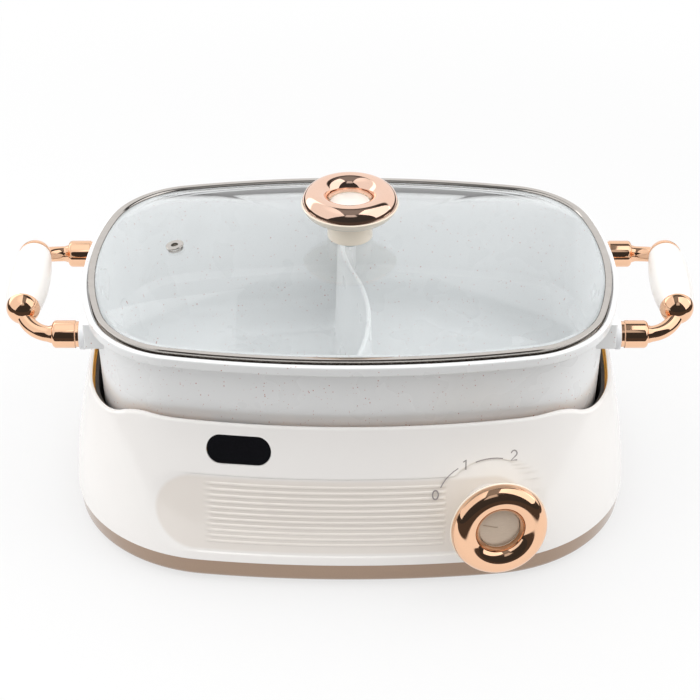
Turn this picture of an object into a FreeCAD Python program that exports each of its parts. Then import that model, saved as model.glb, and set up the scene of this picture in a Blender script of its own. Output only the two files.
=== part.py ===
"""Electric hot pot with a split pot and a loose glass lid. Millimetres, +Z up, front at -Y.

The origin is the middle of the footprint, on the plane that the rubber feet stand on.
Plan outlines are soft rectangles: eight tangent arcs, two long ones in front and behind,
two at the sides and four at the corners. An inset of such an outline is parallel to it.
"""
import FreeCAD, Part
import math
import os
from collections import namedtuple
from FreeCAD import Vector

Plan = namedtuple("Plan", "half_x half_y front_r side_r corner_r")

X_AXIS, Y_AXIS, Z_AXIS = Vector(1, 0, 0), Vector(0, 1, 0), Vector(0, 0, 1)
SIDES = (-1, 1)

# ---- Clearances
slip_gap = 0.3            # between pieces that lift off or slide past each other
thread_gap = 0.05         # round a screw or stud in its own hole
shaft_gap = 0.06          # round the dial's shaft
hole_gap = 0.3            # round a screw in a through hole

# ---- Heights that the pieces share
foot_height = 2.5
seam_z = 17.0             # where the outer casing meets the tray
casing_top_z = 101.0      # front and back edge of the casing
casing_end_z = 90.6       # scooped edge at the two ends
pot_base_z = 62.0
pot_rim_z = 149.0

# ---- Plan outlines
casing_foot = Plan(173.5, 127.0, 700.0, 350.0, 94.0)
casing_brow = Plan(160.0, 104.0, 567.0, 375.0, 71.4)
pot_plan = Plan(163.5, 111.5, 560.0, 205.0, 62.0)          # the pot's rim
pot_wall_plan = Plan(156.3, 98.5, 547.0, 280.0, 60.0)      # the pot's wall just under its rim
liner_plan = Plan(157.7, 101.5, 549.0, 320.0, 64.0)        # the heat liner at its top

# ---- Casing and tray
casing_wall = 3.0
casing_lean_power = 1.6   # how the wall's lean grows with height
casing_edge_round = 1.2
scoop_start_x = 119.0
scoop_end_x = 153.9
tray_wall = 2.5
tray_step = 0.5           # the tray stands in from the casing at the seam
tray_taper = 2.0
tray_bottom_round = 5.0
tray_lip = 3.0            # how far the tray's lip stands up inside the casing
tray_lip_wall = 1.6
tray_lip_gap = 0.4        # between the lip and the casing's wall
core_inset = 45.0         # where swept rims end and flat cores begin

# ---- Feet and casing screws
foot_r = 9.0
foot_peg_r = 2.5
foot_peg_length = 4.0
foot_x, foot_y = 128.0, 84.0
screw_r = 1.5
screw_head_r = 3.0
screw_head = 1.7
casing_screw_length = 16.0
casing_boss_r = 5.0
casing_boss_top_z = 30.0
casing_boss_rib = 2.4
screw_recess = 2.0        # how deep the casing screws' heads are sunk in the tray
side_boss = (159.5, 45.0)
front_boss = (60.0, 114.0)

# ---- Front panel, window and control dial
panel_depth = 0.9
panel_r = 24.5
panel_z = 47.5
panel_left_x = -93.0
well_r = 30.0
rib_count = 11
rib_pitch = 3.6
rib_width = 1.5
rib_left_x = -88.0
rib_top_z = 67.5
rib_sink = 0.35
window_x, window_z = -65.6, 87.0
window_width, window_height = 38.4, 16.6
window_sink = 0.3
window_lip = 2.6
window_lip_thick = 1.4
board_thick = 1.2
lamp_size = (3.0, 2.0, 1.0)
lamp_pitch = 9.0
dial_x, dial_z = 83.2, 51.0      # where the dial's axis passes through the wall
dial_yaw, dial_tilt = 11.0, 8.0  # degrees to the right, and upwards
dial_standoff = 22.0
dial_mark_off = 162.0            # degrees, the pointer at rest, seen from the front
knob_r = 28.8
knob_tube_r = 8.1
knob_stem_r = 13.8
knob_cup = 6.5
knob_cup_r = 29.8
ring_height = 8.0
disc_sink = 2.2
disc_thick = 2.0
pointer_width = 0.9
pointer_length = 9.0
shaft_r = 3.0
shaft_flat = 0.8
bushing_r = 4.7
nut_across = 12.0
nut_thick = 2.2
thermostat_r = 14.0
thermostat_depth = 10.0
thermostat_pad = 5.5      # from the casing's face to the thermostat's
thermostat_blade_x = 6.0
nut_seat = 1.2
nut_room = 3.0
bushing_end = -17.5       # stations on the dial's axis count from the seam under its ring
shaft_bite = 8.0
shaft_grip = 1.5
dial_gap = 2.6
pointer_depth = 0.3

# ---- Heater
liner_sheet = 1.0
liner_top_z = 86.0
liner_floor_z = 33.0
liner_taper = 8.0
liner_lip = 1.2
plate_inset = 30.0
plate_thick = 6.0
plate_hole_r = 13.0
ridge_depth = 8.0
ridge_half = 7.0
element_r = 4.0
element_half_x, element_half_y, element_corner = 95.0, 50.0, 30.0
element_gap_x = 14.0
element_tail_z = 38.0
element_tail_bend = 5.0
terminal_r = 1.4
terminal_end_z = 24.0
post_x, post_y = 118.0, 45.0
post_r = 5.0
stud_r = 2.0
stud_bite = 4.0
stud_nut = 3.2
plate_nut_across = 7.0
plate_washer = 0.8
tray_boss_spots = ((-80, -68), (0, -72), (80, -68), (-80, 68), (0, 72), (80, 68))
tray_boss_r = 5.0
liner_screw_length = 12.0

# ---- Temperature sensor
sensor_r = 12.0
sensor_thick = 3.0
sensor_stem_r = 4.0
sensor_stem_end_z = 26.0
sensor_travel = 2.5
guide_r = 7.0
guide_clear = 8.0         # left under the cap when the sensor is pressed down
guide_flange_r = 12.0
guide_flange = 1.5
spring_wire_r = 0.6
spring_turns = 5
clip_thick = 1.0

# ---- Power inlet and internal wiring
inlet_z = 44.0
inlet_width, inlet_height = 28.0, 21.0
inlet_flange_width, inlet_flange_height = 48.0, 25.0
inlet_flange = 2.5
inlet_depth = 18.5
inlet_wall = 1.8
inlet_cavity_depth = 16.0
inlet_pad_y = 124.5
inlet_pad = 9.0
inlet_pad_margin, inlet_pad_round = 2.0, 4.0
inlet_screw_x = 20.0
inlet_screw_length = 10.0
blade_width, blade_thick = 4.0, 2.0
blade_pitch, blade_rise = 7.0, 2.0
blade_tail = 5.0
blade_sink = 2.0
wire_r = 1.2
wire_bend = 6.0
wire_gap = 0.2            # between a wire's end and its terminal
wire_side_x = 148.0
lamp_wire_z = 76.0
block_spot = (-34.0, -26.0)
block_size = (30.0, 16.0, 12.0)
block_pitch = 9.0
fuse_r, fuse_length = 3.0, 26.0
fuse_spot = (52.0, 84.0, 12.0)

# ---- Pot
rim_height = 6.8
rim_lip = 3.2
rim_seat_depth = 1.8
rim_fillet = 3.5          # under the rim, against the wall
seat_round = 2.0          # between the lid's seat and the wells
pot_wall = 2.6
pot_floor = 4.0
pot_step_z = 92.0         # the ledge round the wells; the wall is thicker below it
pot_draft = 3.0           # how far the wall leans in from its top to its foot
pot_step = 3.0
pot_corner_round = 12.0
pot_foot_draft = 4.0
divider_x = 2.5
divider_swing = 8.6
divider_top_z = 143.5
divider_top_half = 1.4
divider_foot_half = 4.0

# ---- Side handles
lug_end_x = 159.0
lug_half_y = 10.0
lug_bottom_z = 125.0
handle_y, handle_z = 47.0, 130.4
washer_r, washer_thick = 9.2, 3.2
ferrule_r, ferrule_length = 8.4, 16.5
elbow_r, elbow_bend = 4.8, 18.9
elbow_lean = 26.0
ball_r = 10.3
grip_half = 30.6
grip_mid_r, grip_end_r = 12.7, 9.9
grip_end_round = 1.0
rod_r = 2.5
rod_bite = 6.0
handle_stud_r = 2.5
handle_stud_bite = 10.0

# ---- Lid
lid_rim_width = 4.6
lid_rim_sheet = 0.8
glass_thick = 3.0
glass_edge_gap = 1.0      # between the glass and the steel band round its edge
glass_rise = 20.8
dome_power = 2.2
dome_flat = 0.14          # share of the outline that is flat in the middle
vent_x, vent_y = -107.0, 2.0
vent_r = 3.6
vent_bore_r = 2.2
vent_flange_r = 5.6
vent_sheet = 0.8
vent_seal = 0.3           # the seal between the eyelet's flanges and the glass
knob_height = 23.0        # from the glass to the seam under the ring
knob_screw_r = 2.5
knob_screw_bite = 16.0
knob_screw_head_r, knob_screw_head = 5.5, 3.0
knob_washer_r, knob_washer_thick = 9.0, 1.5


# ---- Plan outlines and swept shapes

def inset(plan, distance):
    """The outline parallel to plan, this far inside it."""
    return Plan(*(value - distance for value in plan))


def scaled(plan, share):
    return Plan(*(value * share for value in plan))


def plan_points(plan):
    """Arc centres and tangent points of the outline's first quarter."""
    side = Vector(plan.half_x - plan.side_r, 0, 0)
    front = Vector(0, plan.half_y - plan.front_r, 0)
    to_front = plan.front_r - plan.corner_r
    to_side = plan.side_r - plan.corner_r
    length = (side - front).Length
    along = (side - front).normalize()
    reach = (to_front ** 2 - to_side ** 2 + length ** 2) / (2 * length)
    rise = math.sqrt(to_front ** 2 - reach ** 2)
    corner = front + along * reach + Vector(along.y, -along.x, 0) * rise
    side_tangent = side + (corner - side).normalize() * plan.side_r
    front_tangent = front + (corner - front).normalize() * plan.front_r
    return side, front, corner, side_tangent, front_tangent


def on_arc(centre, first, last):
    """The point of a circle about centre midway between two of its points."""
    middle = (first - centre) + (last - centre)
    return centre + middle.normalize() * (first - centre).Length


def plan_wire(plan, z=0.0):
    """The closed outline at height z, starting at its +X middle."""
    side, front, corner, side_tangent, front_tangent = plan_points(plan)
    start = Vector(plan.half_x, 0, 0)
    quarter_side = on_arc(side, start, side_tangent)
    corner_middle = on_arc(corner, side_tangent, front_tangent)

    def at(point, sign_x=1, sign_y=1):
        return Vector(point.x * sign_x, point.y * sign_y, z)

    arcs = [
        (at(start), at(quarter_side), at(side_tangent)),
        (at(side_tangent), at(corner_middle), at(front_tangent)),
        (at(front_tangent), Vector(0, plan.half_y, z), at(front_tangent, -1)),
        (at(front_tangent, -1), at(corner_middle, -1), at(side_tangent, -1)),
        (at(side_tangent, -1), Vector(-plan.half_x, 0, z), at(side_tangent, -1, -1)),
        (at(side_tangent, -1, -1), at(corner_middle, -1, -1), at(front_tangent, -1, -1)),
        (at(front_tangent, -1, -1), Vector(0, -plan.half_y, z), at(front_tangent, 1, -1)),
        (at(front_tangent, 1, -1), at(corner_middle, 1, -1), at(side_tangent, 1, -1)),
        (at(side_tangent, 1, -1), at(quarter_side, 1, -1), at(start)),
    ]
    return Part.Wire([Part.Arc(*points).toShape() for points in arcs])


def prism(plan, low_z, high_z):
    return Part.Face(plan_wire(plan, low_z)).extrude(Vector(0, 0, high_z - low_z))


def loft(sections, ruled=False):
    """A solid through (plan, z) sections."""
    return Part.makeLoft([plan_wire(plan, z) for plan, z in sections], True, ruled)


def rounded(corners):
    """A closed wire in the XZ plane; a third number in a corner rounds it."""
    count = len(corners)
    points = [Vector(c[0], 0, c[1]) for c in corners]
    edges, first, last = [], None, None
    for i, corner in enumerate(corners):
        here, before, after = points[i], points[i - 1], points[(i + 1) % count]
        if len(corner) > 2:
            back, on = (before - here).normalize(), (after - here).normalize()
            half = back.getAngle(on) / 2
            tangent = corner[2] / math.tan(half)
            centre = here + (back + on).normalize() * (corner[2] / math.sin(half))
            enter, leave = here + back * tangent, here + on * tangent
            middle = centre + (here - centre).normalize() * corner[2]
            arc = Part.Arc(enter, middle, leave).toShape()
        else:
            enter, leave, arc = here, here, None
        if last is None:
            first = enter
        else:
            edges.append(Part.LineSegment(last, enter).toShape())
        if arc:
            edges.append(arc)
        last = leave
    edges.append(Part.LineSegment(last, first).toShape())
    return Part.Wire(edges)


def swept(plan, corners):
    """A ring whose (inset, z) section follows the plan's outline."""
    section = rounded([(plan.half_x - c[0], *c[1:]) for c in corners])
    ring = plan_wire(plan).makePipeShell([section], True, False)
    return Part.Solid(ring) if ring.ShapeType != "Solid" else ring


def filled(plan, corners, low_z, high_z):
    """A swept ring that ends at core_inset, with its flat middle added."""
    core = prism(inset(plan, core_inset), low_z, high_z)
    return swept(plan, corners).fuse(core).removeSplitter()


def turned(corners, base=Vector(0, 0, 0), axis=Z_AXIS):
    """A solid of revolution of an (r, height) section, set on base along axis."""
    solid = Part.Face(rounded(corners)).revolve(Vector(0, 0, 0), Z_AXIS, 360)
    return placed(solid, base, axis)


def placed(shape, base, axis=Z_AXIS):
    moved = shape.copy()
    moved.Placement = FreeCAD.Placement(base, FreeCAD.Rotation(Z_AXIS, axis))
    return moved


def rod(radius, base, axis, length):
    return Part.makeCylinder(radius, length, base, axis)


def tube(outer, bore, base, axis, length):
    return rod(outer, base, axis, length).cut(rod(bore, base, axis, length))


def box(centre_x, width, low_y, high_y, low_z, high_z):
    corner = Vector(centre_x - width / 2, low_y, low_z)
    return Part.makeBox(width, high_y - low_y, high_z - low_z, corner)


def hexagon(across, base, axis, thick):
    points = [Vector(math.cos(math.radians(60 * i)), math.sin(math.radians(60 * i)), 0)
              for i in range(7)]
    reach = across / 2 / math.cos(math.radians(30))
    flat = Part.Face(Part.makePolygon([point * reach for point in points]))
    return placed(flat.extrude(Vector(0, 0, thick)), base, axis)


def stadium(left_x, right_x, z, radius, low_y, high_y):
    """A prism along Y with two round ends."""
    body = box((left_x + right_x) / 2, right_x - left_x, low_y, high_y, z - radius, z + radius)
    for x in (left_x, right_x):
        body = body.fuse(rod(radius, Vector(x, low_y, z), Y_AXIS, high_y - low_y))
    return body.removeSplitter()


def loop_wire(half_x, half_y, corner, z):
    """A rounded rectangle with straight sides."""
    flat = Part.makePlane(2 * half_x, 2 * half_y, Vector(-half_x, -half_y, z))
    solid = flat.extrude(Vector(0, 0, 1))
    upright = [edge for edge in solid.Edges if abs(edge.tangentAt(edge.FirstParameter).z) > 0.5]
    solid = solid.makeFillet(corner, upright)
    low = min(solid.Faces, key=lambda face: face.CenterOfMass.z)
    return low.OuterWire


def loop_band(half, low_z, high_z):
    """A ring of this half width about the heating element's line."""
    outer = loop_wire(element_half_x + half, element_half_y + half, element_corner + half, low_z)
    inner = loop_wire(element_half_x - half, element_half_y - half, element_corner - half, low_z)
    rise = Vector(0, 0, high_z - low_z)
    return Part.Face(outer).extrude(rise).cut(Part.Face(inner).extrude(rise))


def bent_path(points, bends):
    """Straight runs joined by tangent arcs, each as large as its bend and its runs allow."""
    edges, last = [], points[0]
    for i in range(1, len(points) - 1):
        here, before, after = points[i], points[i - 1], points[i + 1]
        back, on = before - here, after - here
        shorter = min(back.Length, on.Length)
        back, on = back.normalize(), on.normalize()
        half = back.getAngle(on) / 2
        reach = min(bends[i - 1] / math.tan(half), 0.45 * shorter)
        radius = reach * math.tan(half)
        centre = here + (back + on).normalize() * (radius / math.sin(half))
        enter, leave = here + back * reach, here + on * reach
        edges.append(Part.LineSegment(last, enter).toShape())
        middle = centre + (here - centre).normalize() * radius
        edges.append(Part.Arc(enter, middle, leave).toShape())
        last = leave
    edges.append(Part.LineSegment(last, points[-1]).toShape())
    return Part.Wire(edges)


def round_bar(points, radius, bends):
    """A round bar along a bent path."""
    path = bent_path(points, bends)
    start = path.Edges[0]
    tangent = start.tangentAt(start.FirstParameter)
    circle = Part.makeCircle(radius, points[0], tangent)
    return path.makePipeShell([Part.Wire([circle])], True, False)


# ---- The casing's leaning wall

def casing_plan(z):
    """The casing's outer outline at height z."""
    share = (max(z - seam_z, 0) / (casing_top_z - seam_z)) ** casing_lean_power
    return Plan(*(low + (high - low) * share for low, high in zip(casing_foot, casing_brow)))


def casing_hull(depth, low_z=seam_z, high_z=casing_top_z, steps=7):
    """The solid inside the casing's outer surface, moved in by depth."""
    levels = [low_z + (high_z - low_z) * i / (steps - 1) for i in range(steps)]
    return loft([(inset(casing_plan(z), depth), z) for z in levels])


def front_y(x, z):
    """Y of the casing's outer surface in front, at x and height z."""
    plan = casing_plan(z)
    return plan.front_r - plan.half_y - math.sqrt(plan.front_r ** 2 - x ** 2)


def scoop_cutter():
    """What is taken off the casing's edge beyond each end of its front and back."""
    drop = casing_top_z - casing_end_z
    run = scoop_end_x - scoop_start_x
    radius = (run ** 2 + drop ** 2) / (4 * drop)
    lean = math.asin(run / 2 / radius)
    above, far = casing_top_z + 10, casing_foot.half_x + 10

    def at(x, z):
        return Vector(x, -casing_foot.half_y - 10, z)

    start, end = at(scoop_start_x, casing_top_z), at(scoop_end_x, casing_end_z)
    middle = (start + end) * 0.5
    high = at(scoop_start_x + radius * math.sin(lean / 2),
              casing_top_z - radius * (1 - math.cos(lean / 2)))
    low = at(scoop_end_x - radius * math.sin(lean / 2),
             casing_end_z + radius * (1 - math.cos(lean / 2)))
    outline = Part.Wire([
        Part.Arc(start, high, middle).toShape(),
        Part.Arc(middle, low, end).toShape(),
        Part.makePolygon([end, at(far, casing_end_z), at(far, above),
                          at(scoop_start_x, above), start]),
    ])
    cutter = Part.Face(outline).extrude(Vector(0, 2 * casing_foot.half_y + 20, 0))
    return cutter.fuse(cutter.mirror(Vector(0, 0, 0), X_AXIS))


# ---- The dial's own frame

def dial_axis():
    """Unit vector out of the front along the dial's axis."""
    yaw, tilt = math.radians(dial_yaw), math.radians(dial_tilt)
    flat = math.cos(tilt)
    return Vector(math.sin(yaw) * flat, -math.cos(yaw) * flat, math.sin(tilt))


def dial_point(along):
    """A point on the dial's axis; 0 is the seam under its ring, + is out of the front."""
    wall = Vector(dial_x, front_y(dial_x, dial_z), dial_z)
    return wall + dial_axis() * (dial_standoff + along)


def dial_right():
    """Horizontal unit vector across the dial, to the right as seen from the front."""
    return Z_AXIS.cross(dial_axis()).normalize()


# ---- Base

def boss_spots():
    spots = [(sx * side_boss[0], sy * side_boss[1]) for sx in SIDES for sy in SIDES]
    return spots + [(sx * front_boss[0], sy * front_boss[1]) for sx in SIDES for sy in SIDES]


def foot_spots():
    return [(sx * foot_x, sy * foot_y) for sx in SIDES for sy in SIDES]


def tray_floor_top():
    return foot_height + tray_wall


def boss_foot_z():
    """Where the casing's bosses stand on the tray's raised pads."""
    return tray_floor_top() + screw_recess


def base_tray():
    """The lower tray with its lip, the posts under the liner and all its holes."""
    bottom, floor = foot_height, tray_floor_top()
    lip_outer = casing_wall + tray_lip_gap
    lip_inner = lip_outer + tray_lip_wall
    tray = filled(casing_foot, [
        (tray_step, seam_z), (tray_taper, bottom, tray_bottom_round), (core_inset, bottom),
        (core_inset, floor), (lip_inner, floor, 1.0), (lip_inner, seam_z + tray_lip),
        (lip_outer, seam_z + tray_lip), (lip_outer, seam_z)], bottom, floor)
    for x, y in tray_boss_spots:
        tray = tray.fuse(rod(tray_boss_r, Vector(x, y, floor - 1), Z_AXIS, liner_floor_z - floor + 1))
    for x, y in tray_boss_spots:
        base = Vector(x, y, liner_floor_z - liner_screw_length - 1)
        tray = tray.cut(rod(screw_r + thread_gap, base, Z_AXIS, liner_screw_length + 2))
    for x, y in boss_spots():
        tray = tray.fuse(rod(casing_boss_r, Vector(x, y, bottom), Z_AXIS, tray_wall + screw_recess))
    for x, y in boss_spots():
        tray = tray.cut(rod(screw_head_r + slip_gap, Vector(x, y, 0), Z_AXIS, bottom + screw_recess))
        tray = tray.cut(rod(screw_r + hole_gap, Vector(x, y, 0), Z_AXIS, boss_foot_z() + 1))
    for x, y in foot_spots():
        tray = tray.cut(rod(foot_peg_r + thread_gap, Vector(x, y, 0), Z_AXIS, floor + 1))
    return tray.removeSplitter()


def rubber_feet():
    feet = []
    for x, y in foot_spots():
        foot = turned([(0, 0), (foot_r - 1, 0, 0.6), (foot_r, foot_height), (foot_peg_r, foot_height),
                       (foot_peg_r, foot_height + foot_peg_length), (0, foot_height + foot_peg_length)],
                      Vector(x, y, 0))
        feet.append(foot)
    return Part.makeCompound(feet)


def pan_screw(x, y, head_z, shank_z, radius=screw_r):
    """A screw whose head lies from head_z towards the far side of its shank's end."""
    up = 1 if shank_z > head_z else -1
    axis = Vector(0, 0, up)
    length = abs(shank_z - head_z)
    return turned([(0, 0), (screw_head_r, 0, 0.6), (screw_head_r, screw_head), (radius, screw_head),
                   (radius, length), (0, length)], Vector(x, y, head_z), axis)


def casing_screw_levels():
    """Underside of the casing screws' heads and the tip of their shanks."""
    head_z = foot_height + screw_recess - screw_head
    return head_z, head_z + casing_screw_length


def casing_screws():
    return Part.makeCompound([pan_screw(x, y, *casing_screw_levels()) for x, y in boss_spots()])


def capsule(grow, low_y, high_y):
    """The window's outline, grown by this much, as a prism along Y."""
    radius = window_height / 2 + grow
    reach = (window_width - window_height) / 2
    return stadium(window_x - reach, window_x + reach, window_z, radius, low_y, high_y)


def panel_cutter():
    """The shallow panel behind the dial, less its level ribs."""
    near, far = -casing_foot.half_y - 10, 0
    outline = stadium(panel_left_x, dial_x, panel_z, panel_r, near, far)
    outline = outline.fuse(rod(well_r, Vector(dial_x, near, dial_z), Y_AXIS, far - near))
    ribs = [box((rib_left_x + dial_x - well_r) / 2, dial_x - well_r - rib_left_x, near, far,
                rib_top_z - i * rib_pitch - rib_width, rib_top_z - i * rib_pitch)
            for i in range(rib_count)]
    ribs = Part.makeCompound(ribs)
    low, high = seam_z + 2, casing_top_z - 5
    deep = outline.cut(ribs).cut(casing_hull(panel_depth, low, high, 6))
    shallow = outline.common(ribs).cut(casing_hull(rib_sink, low, high, 6))
    return [deep, shallow]


def top_borders(shell):
    """Both borders of the shell's level and scooped top edge."""
    tops = []
    for face in shell.Faces:
        u_low, u_high, v_low, v_high = face.ParameterRange
        upward = face.normalAt((u_low + u_high) / 2, (v_low + v_high) / 2).z > 0.5
        if upward and face.CenterOfMass.z > casing_end_z - casing_wall:
            tops.append(face)
    edges = [edge for face in tops for edge in face.Edges]
    return [edge for edge in edges if sum(edge.isSame(other) for other in edges) == 1]


def casing_bosses():
    """Screw bosses inside the wall, each with a rib that joins it to the wall above the tray's lip."""
    bosses = []
    foot, rib_z = boss_foot_z(), seam_z + tray_lip + slip_gap
    for x, y in boss_spots():
        bosses.append(rod(casing_boss_r, Vector(x, y, foot), Z_AXIS, casing_boss_top_z - foot))
        at_side = abs(x) == side_boss[0]
        outward = Vector(math.copysign(1, x), 0, 0) if at_side else Vector(0, math.copysign(1, y), 0)
        rib = Part.makeBox(casing_foot.half_x, casing_boss_rib, casing_boss_top_z - rib_z,
                           Vector(0, -casing_boss_rib / 2, 0))
        turn = FreeCAD.Rotation(X_AXIS, outward)
        rib.Placement = FreeCAD.Placement(Vector(x, y, rib_z), turn)
        bosses.append(rib.common(casing_hull(casing_wall / 2, seam_z, casing_top_z, 3)))
    return bosses


def inlet_outline(low_y, high_y):
    """The rounded block that the power inlet's flange lies on, as a prism along Y."""
    margin, half = inlet_pad_margin, inlet_flange_height / 2 + inlet_pad_margin
    block = box(0, inlet_flange_width + 2 * margin, low_y, high_y, inlet_z - half, inlet_z + half)
    upright = [edge for edge in block.Edges if abs(edge.tangentAt(0).y) > 0.5]
    return block.makeFillet(inlet_pad_round, upright)


def outer_casing():
    """The glossy casing: a leaning shell with scooped ends, bosses, panel and openings."""
    hull = casing_hull(0)
    shell = hull.cut(casing_hull(casing_wall, seam_z, casing_top_z)).cut(scoop_cutter())
    shell = shell.makeFillet(casing_edge_round, top_borders(shell))
    for boss in casing_bosses():
        shell = shell.fuse(boss)
    pad = dial_lug(thermostat_face(), -dial_standoff, thermostat_r + 2)
    shell = shell.fuse(pad.common(hull))
    shell = shell.fuse(inlet_outline(inlet_pad_y - inlet_pad, inlet_pad_y))
    shell = shell.cut(inlet_outline(inlet_pad_y, casing_foot.half_y + 1))
    for cutter in panel_cutter():
        shell = shell.cut(cutter)
    for x, y in boss_spots():
        shell = shell.cut(rod(screw_r + thread_gap, Vector(x, y, 0), Z_AXIS, casing_screw_levels()[1] + 1))
    shell = shell.cut(capsule(0, -casing_foot.half_y, -casing_brow.half_y / 2))
    face = thermostat_face()
    shell = shell.cut(dial_lug(face - thermostat_depth - 1, face, thermostat_r + slip_gap))
    shell = shell.cut(dial_lug(face - 1, 0, bushing_r + slip_gap))
    shell = shell.cut(dial_lug(-dial_standoff - nut_seat, 0, nut_across / 2 + 2))
    shell = shell.cut(box(0, inlet_width + 2 * slip_gap, inlet_pad_y - 20, inlet_pad_y + 10,
                          inlet_z - inlet_height / 2 - slip_gap, inlet_z + inlet_height / 2 + slip_gap))
    for side in SIDES:
        hole = Vector(side * inlet_screw_x, inlet_pad_y - 20, inlet_z)
        shell = shell.cut(rod(screw_r + thread_gap, hole, Y_AXIS, 30))
    return shell.removeSplitter()


def window_lens():
    """The dark lens: it fills the opening and has a lip glued behind the wall."""
    face = capsule(-0.2, -casing_foot.half_y, 0)
    face = face.common(wall_layer(window_sink, casing_wall + 0.1))
    lip = capsule(window_lip, -casing_foot.half_y, 0)
    lip = lip.common(wall_layer(casing_wall + 0.1, casing_wall + window_lip_thick))
    return face.fuse(lip).removeSplitter()


def wall_layer(outer_depth, inner_depth):
    """The layer of the window's stretch of wall between two depths."""
    low = window_z - window_height / 2 - 2 * window_lip
    high = casing_top_z
    return casing_hull(outer_depth, low, high, 4).cut(casing_hull(inner_depth, low, high, 4))


def window_frame():
    """Where the lamp board lies: middle of the window, behind its lip, and the wall's normal."""
    step = 0.5
    middle = Vector(window_x, front_y(window_x, window_z), window_z)
    across = Vector(2 * step, front_y(window_x + step, window_z) - front_y(window_x - step, window_z), 0)
    up = Vector(0, front_y(window_x, window_z + step) - front_y(window_x, window_z - step), 2 * step)
    normal = across.cross(up).normalize()
    return middle, across.normalize(), normal


def framed_box(width, height, low, high, shift=0.0):
    """A box square to the wall at the window, between two depths behind its outer face."""
    middle, across, normal = window_frame()
    up = normal.cross(across)
    solid = Part.makeBox(width, height, high - low, Vector(-width / 2, -height / 2, 0))
    matrix = FreeCAD.Matrix(across.x, up.x, normal.x, 0, across.y, up.y, normal.y, 0,
                            across.z, up.z, normal.z, 0, 0, 0, 0, 1)
    solid.transformShape(matrix)
    solid.translate(middle - normal * high + across * shift)
    return solid


def lamp_depths():
    """Depths behind the casing's face of the lamps' front, the board's front and its back."""
    front = casing_wall + window_lip_thick + slip_gap
    board = front + lamp_size[2]
    return front, board, board + board_thick


def lamps():
    front, board, _ = lamp_depths()
    return Part.makeCompound([framed_box(lamp_size[0], lamp_size[1], front, board, i * lamp_pitch)
                              for i in (-1, 0, 1)])


def lamp_board():
    _, front, back = lamp_depths()
    return framed_box(window_width, window_height * 0.7, front, back)


def dial_lug(low, high, radius):
    """A cylinder on the dial's axis between two stations."""
    return rod(radius, dial_point(low), dial_axis(), high - low)


def thermostat_face():
    """Station of the thermostat's mounting face on the dial's axis."""
    return -dial_standoff - thermostat_pad


def thermostat_body():
    """The thermostat with its threaded bushing through the wall and two blades."""
    face = thermostat_face()
    body = dial_lug(face - thermostat_depth, face, thermostat_r)
    body = body.fuse(dial_lug(face, bushing_end, bushing_r))
    bore = shaft_r + shaft_gap
    body = body.cut(dial_lug(face - shaft_bite - 1, bushing_end, bore))
    return body.cut(thermostat_blades()).removeSplitter()


def thermostat_nut():
    low = -dial_standoff - nut_seat
    nut = hexagon(nut_across, dial_point(low), dial_axis(), nut_thick)
    return nut.cut(dial_lug(low, low + nut_thick, bushing_r + thread_gap))


def thermostat_shaft():
    """The dial's shaft, with a flat that the knob's bore grips."""
    low, high = thermostat_face() - shaft_bite, -knob_cup + shaft_grip
    shaft = dial_lug(low, high, shaft_r)
    return shaft.cut(shaft_flat_cutter(bushing_end, high, 0))


def shaft_flat_cutter(low, high, gap):
    """What the flat takes off a cylinder on the dial's axis."""
    size = 2 * shaft_r + 2
    block = Part.makeBox(size, size, high - low, Vector(-size / 2, shaft_r - shaft_flat + gap, 0))
    return in_dial_frame(block, low)


def in_dial_frame(shape, along=0.0):
    """Sets a shape modelled face up on the dial's axis, its +X to the right in front."""
    axis, right = dial_axis(), dial_right()
    up = axis.cross(right)
    base = dial_point(along)
    matrix = FreeCAD.Matrix(right.x, up.x, axis.x, base.x, right.y, up.y, axis.y, base.y,
                            right.z, up.z, axis.z, base.z, 0, 0, 0, 1)
    moved = shape.copy()
    moved.transformShape(matrix)
    return moved


def knob_base_section(stem_length):
    """Half section of a knob's cream base: a stem that flares into a cup; its seam is at 0."""
    foot = -knob_cup - stem_length
    return [(0, 0), (knob_cup_r, 0, 0.6), (knob_cup_r - 3.5, -knob_cup, 5.0), (knob_stem_r, -knob_cup, 1.0),
            (knob_stem_r, foot, 0.5), (0, foot)]


def knob_ring_section():
    """Half section of the metal ring on a knob."""
    inner = knob_r - 2 * knob_tube_r
    round_r = min(knob_tube_r - 0.3, ring_height - 0.2)
    return [(inner, 0), (knob_r, 0), (knob_r, ring_height, round_r), (inner, ring_height, round_r)]


def knob_disc_section():
    """Half section of the disc inside a knob's ring, sunk in the base."""
    outer = knob_r - 2 * knob_tube_r - slip_gap
    return [(0, -disc_sink), (outer, -disc_sink), (outer, -disc_sink + disc_thick, 0.5),
            (0, -disc_sink + disc_thick)]


def knob_pocket():
    """The round pocket in a knob's base that its disc lies in."""
    radius = knob_r - 2 * knob_tube_r
    return Part.makeCylinder(radius, disc_sink + 1, Vector(0, 0, -disc_sink))


def dial_base():
    stem = dial_standoff - knob_cup - dial_gap
    base = turned(knob_base_section(stem)).cut(knob_pocket())
    foot = -knob_cup - stem
    base = base.cut(Part.makeCylinder(nut_across / 2 + 2, nut_room, Vector(0, 0, foot)))
    base = in_dial_frame(base)
    bore = dial_lug(foot, -knob_cup + shaft_grip + 0.5, shaft_r + thread_gap)
    bore = bore.cut(shaft_flat_cutter(foot + nut_room, -knob_cup + shaft_grip + 0.5, thread_gap))
    return base.cut(bore)


def dial_ring():
    return in_dial_frame(turned(knob_ring_section()))


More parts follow.
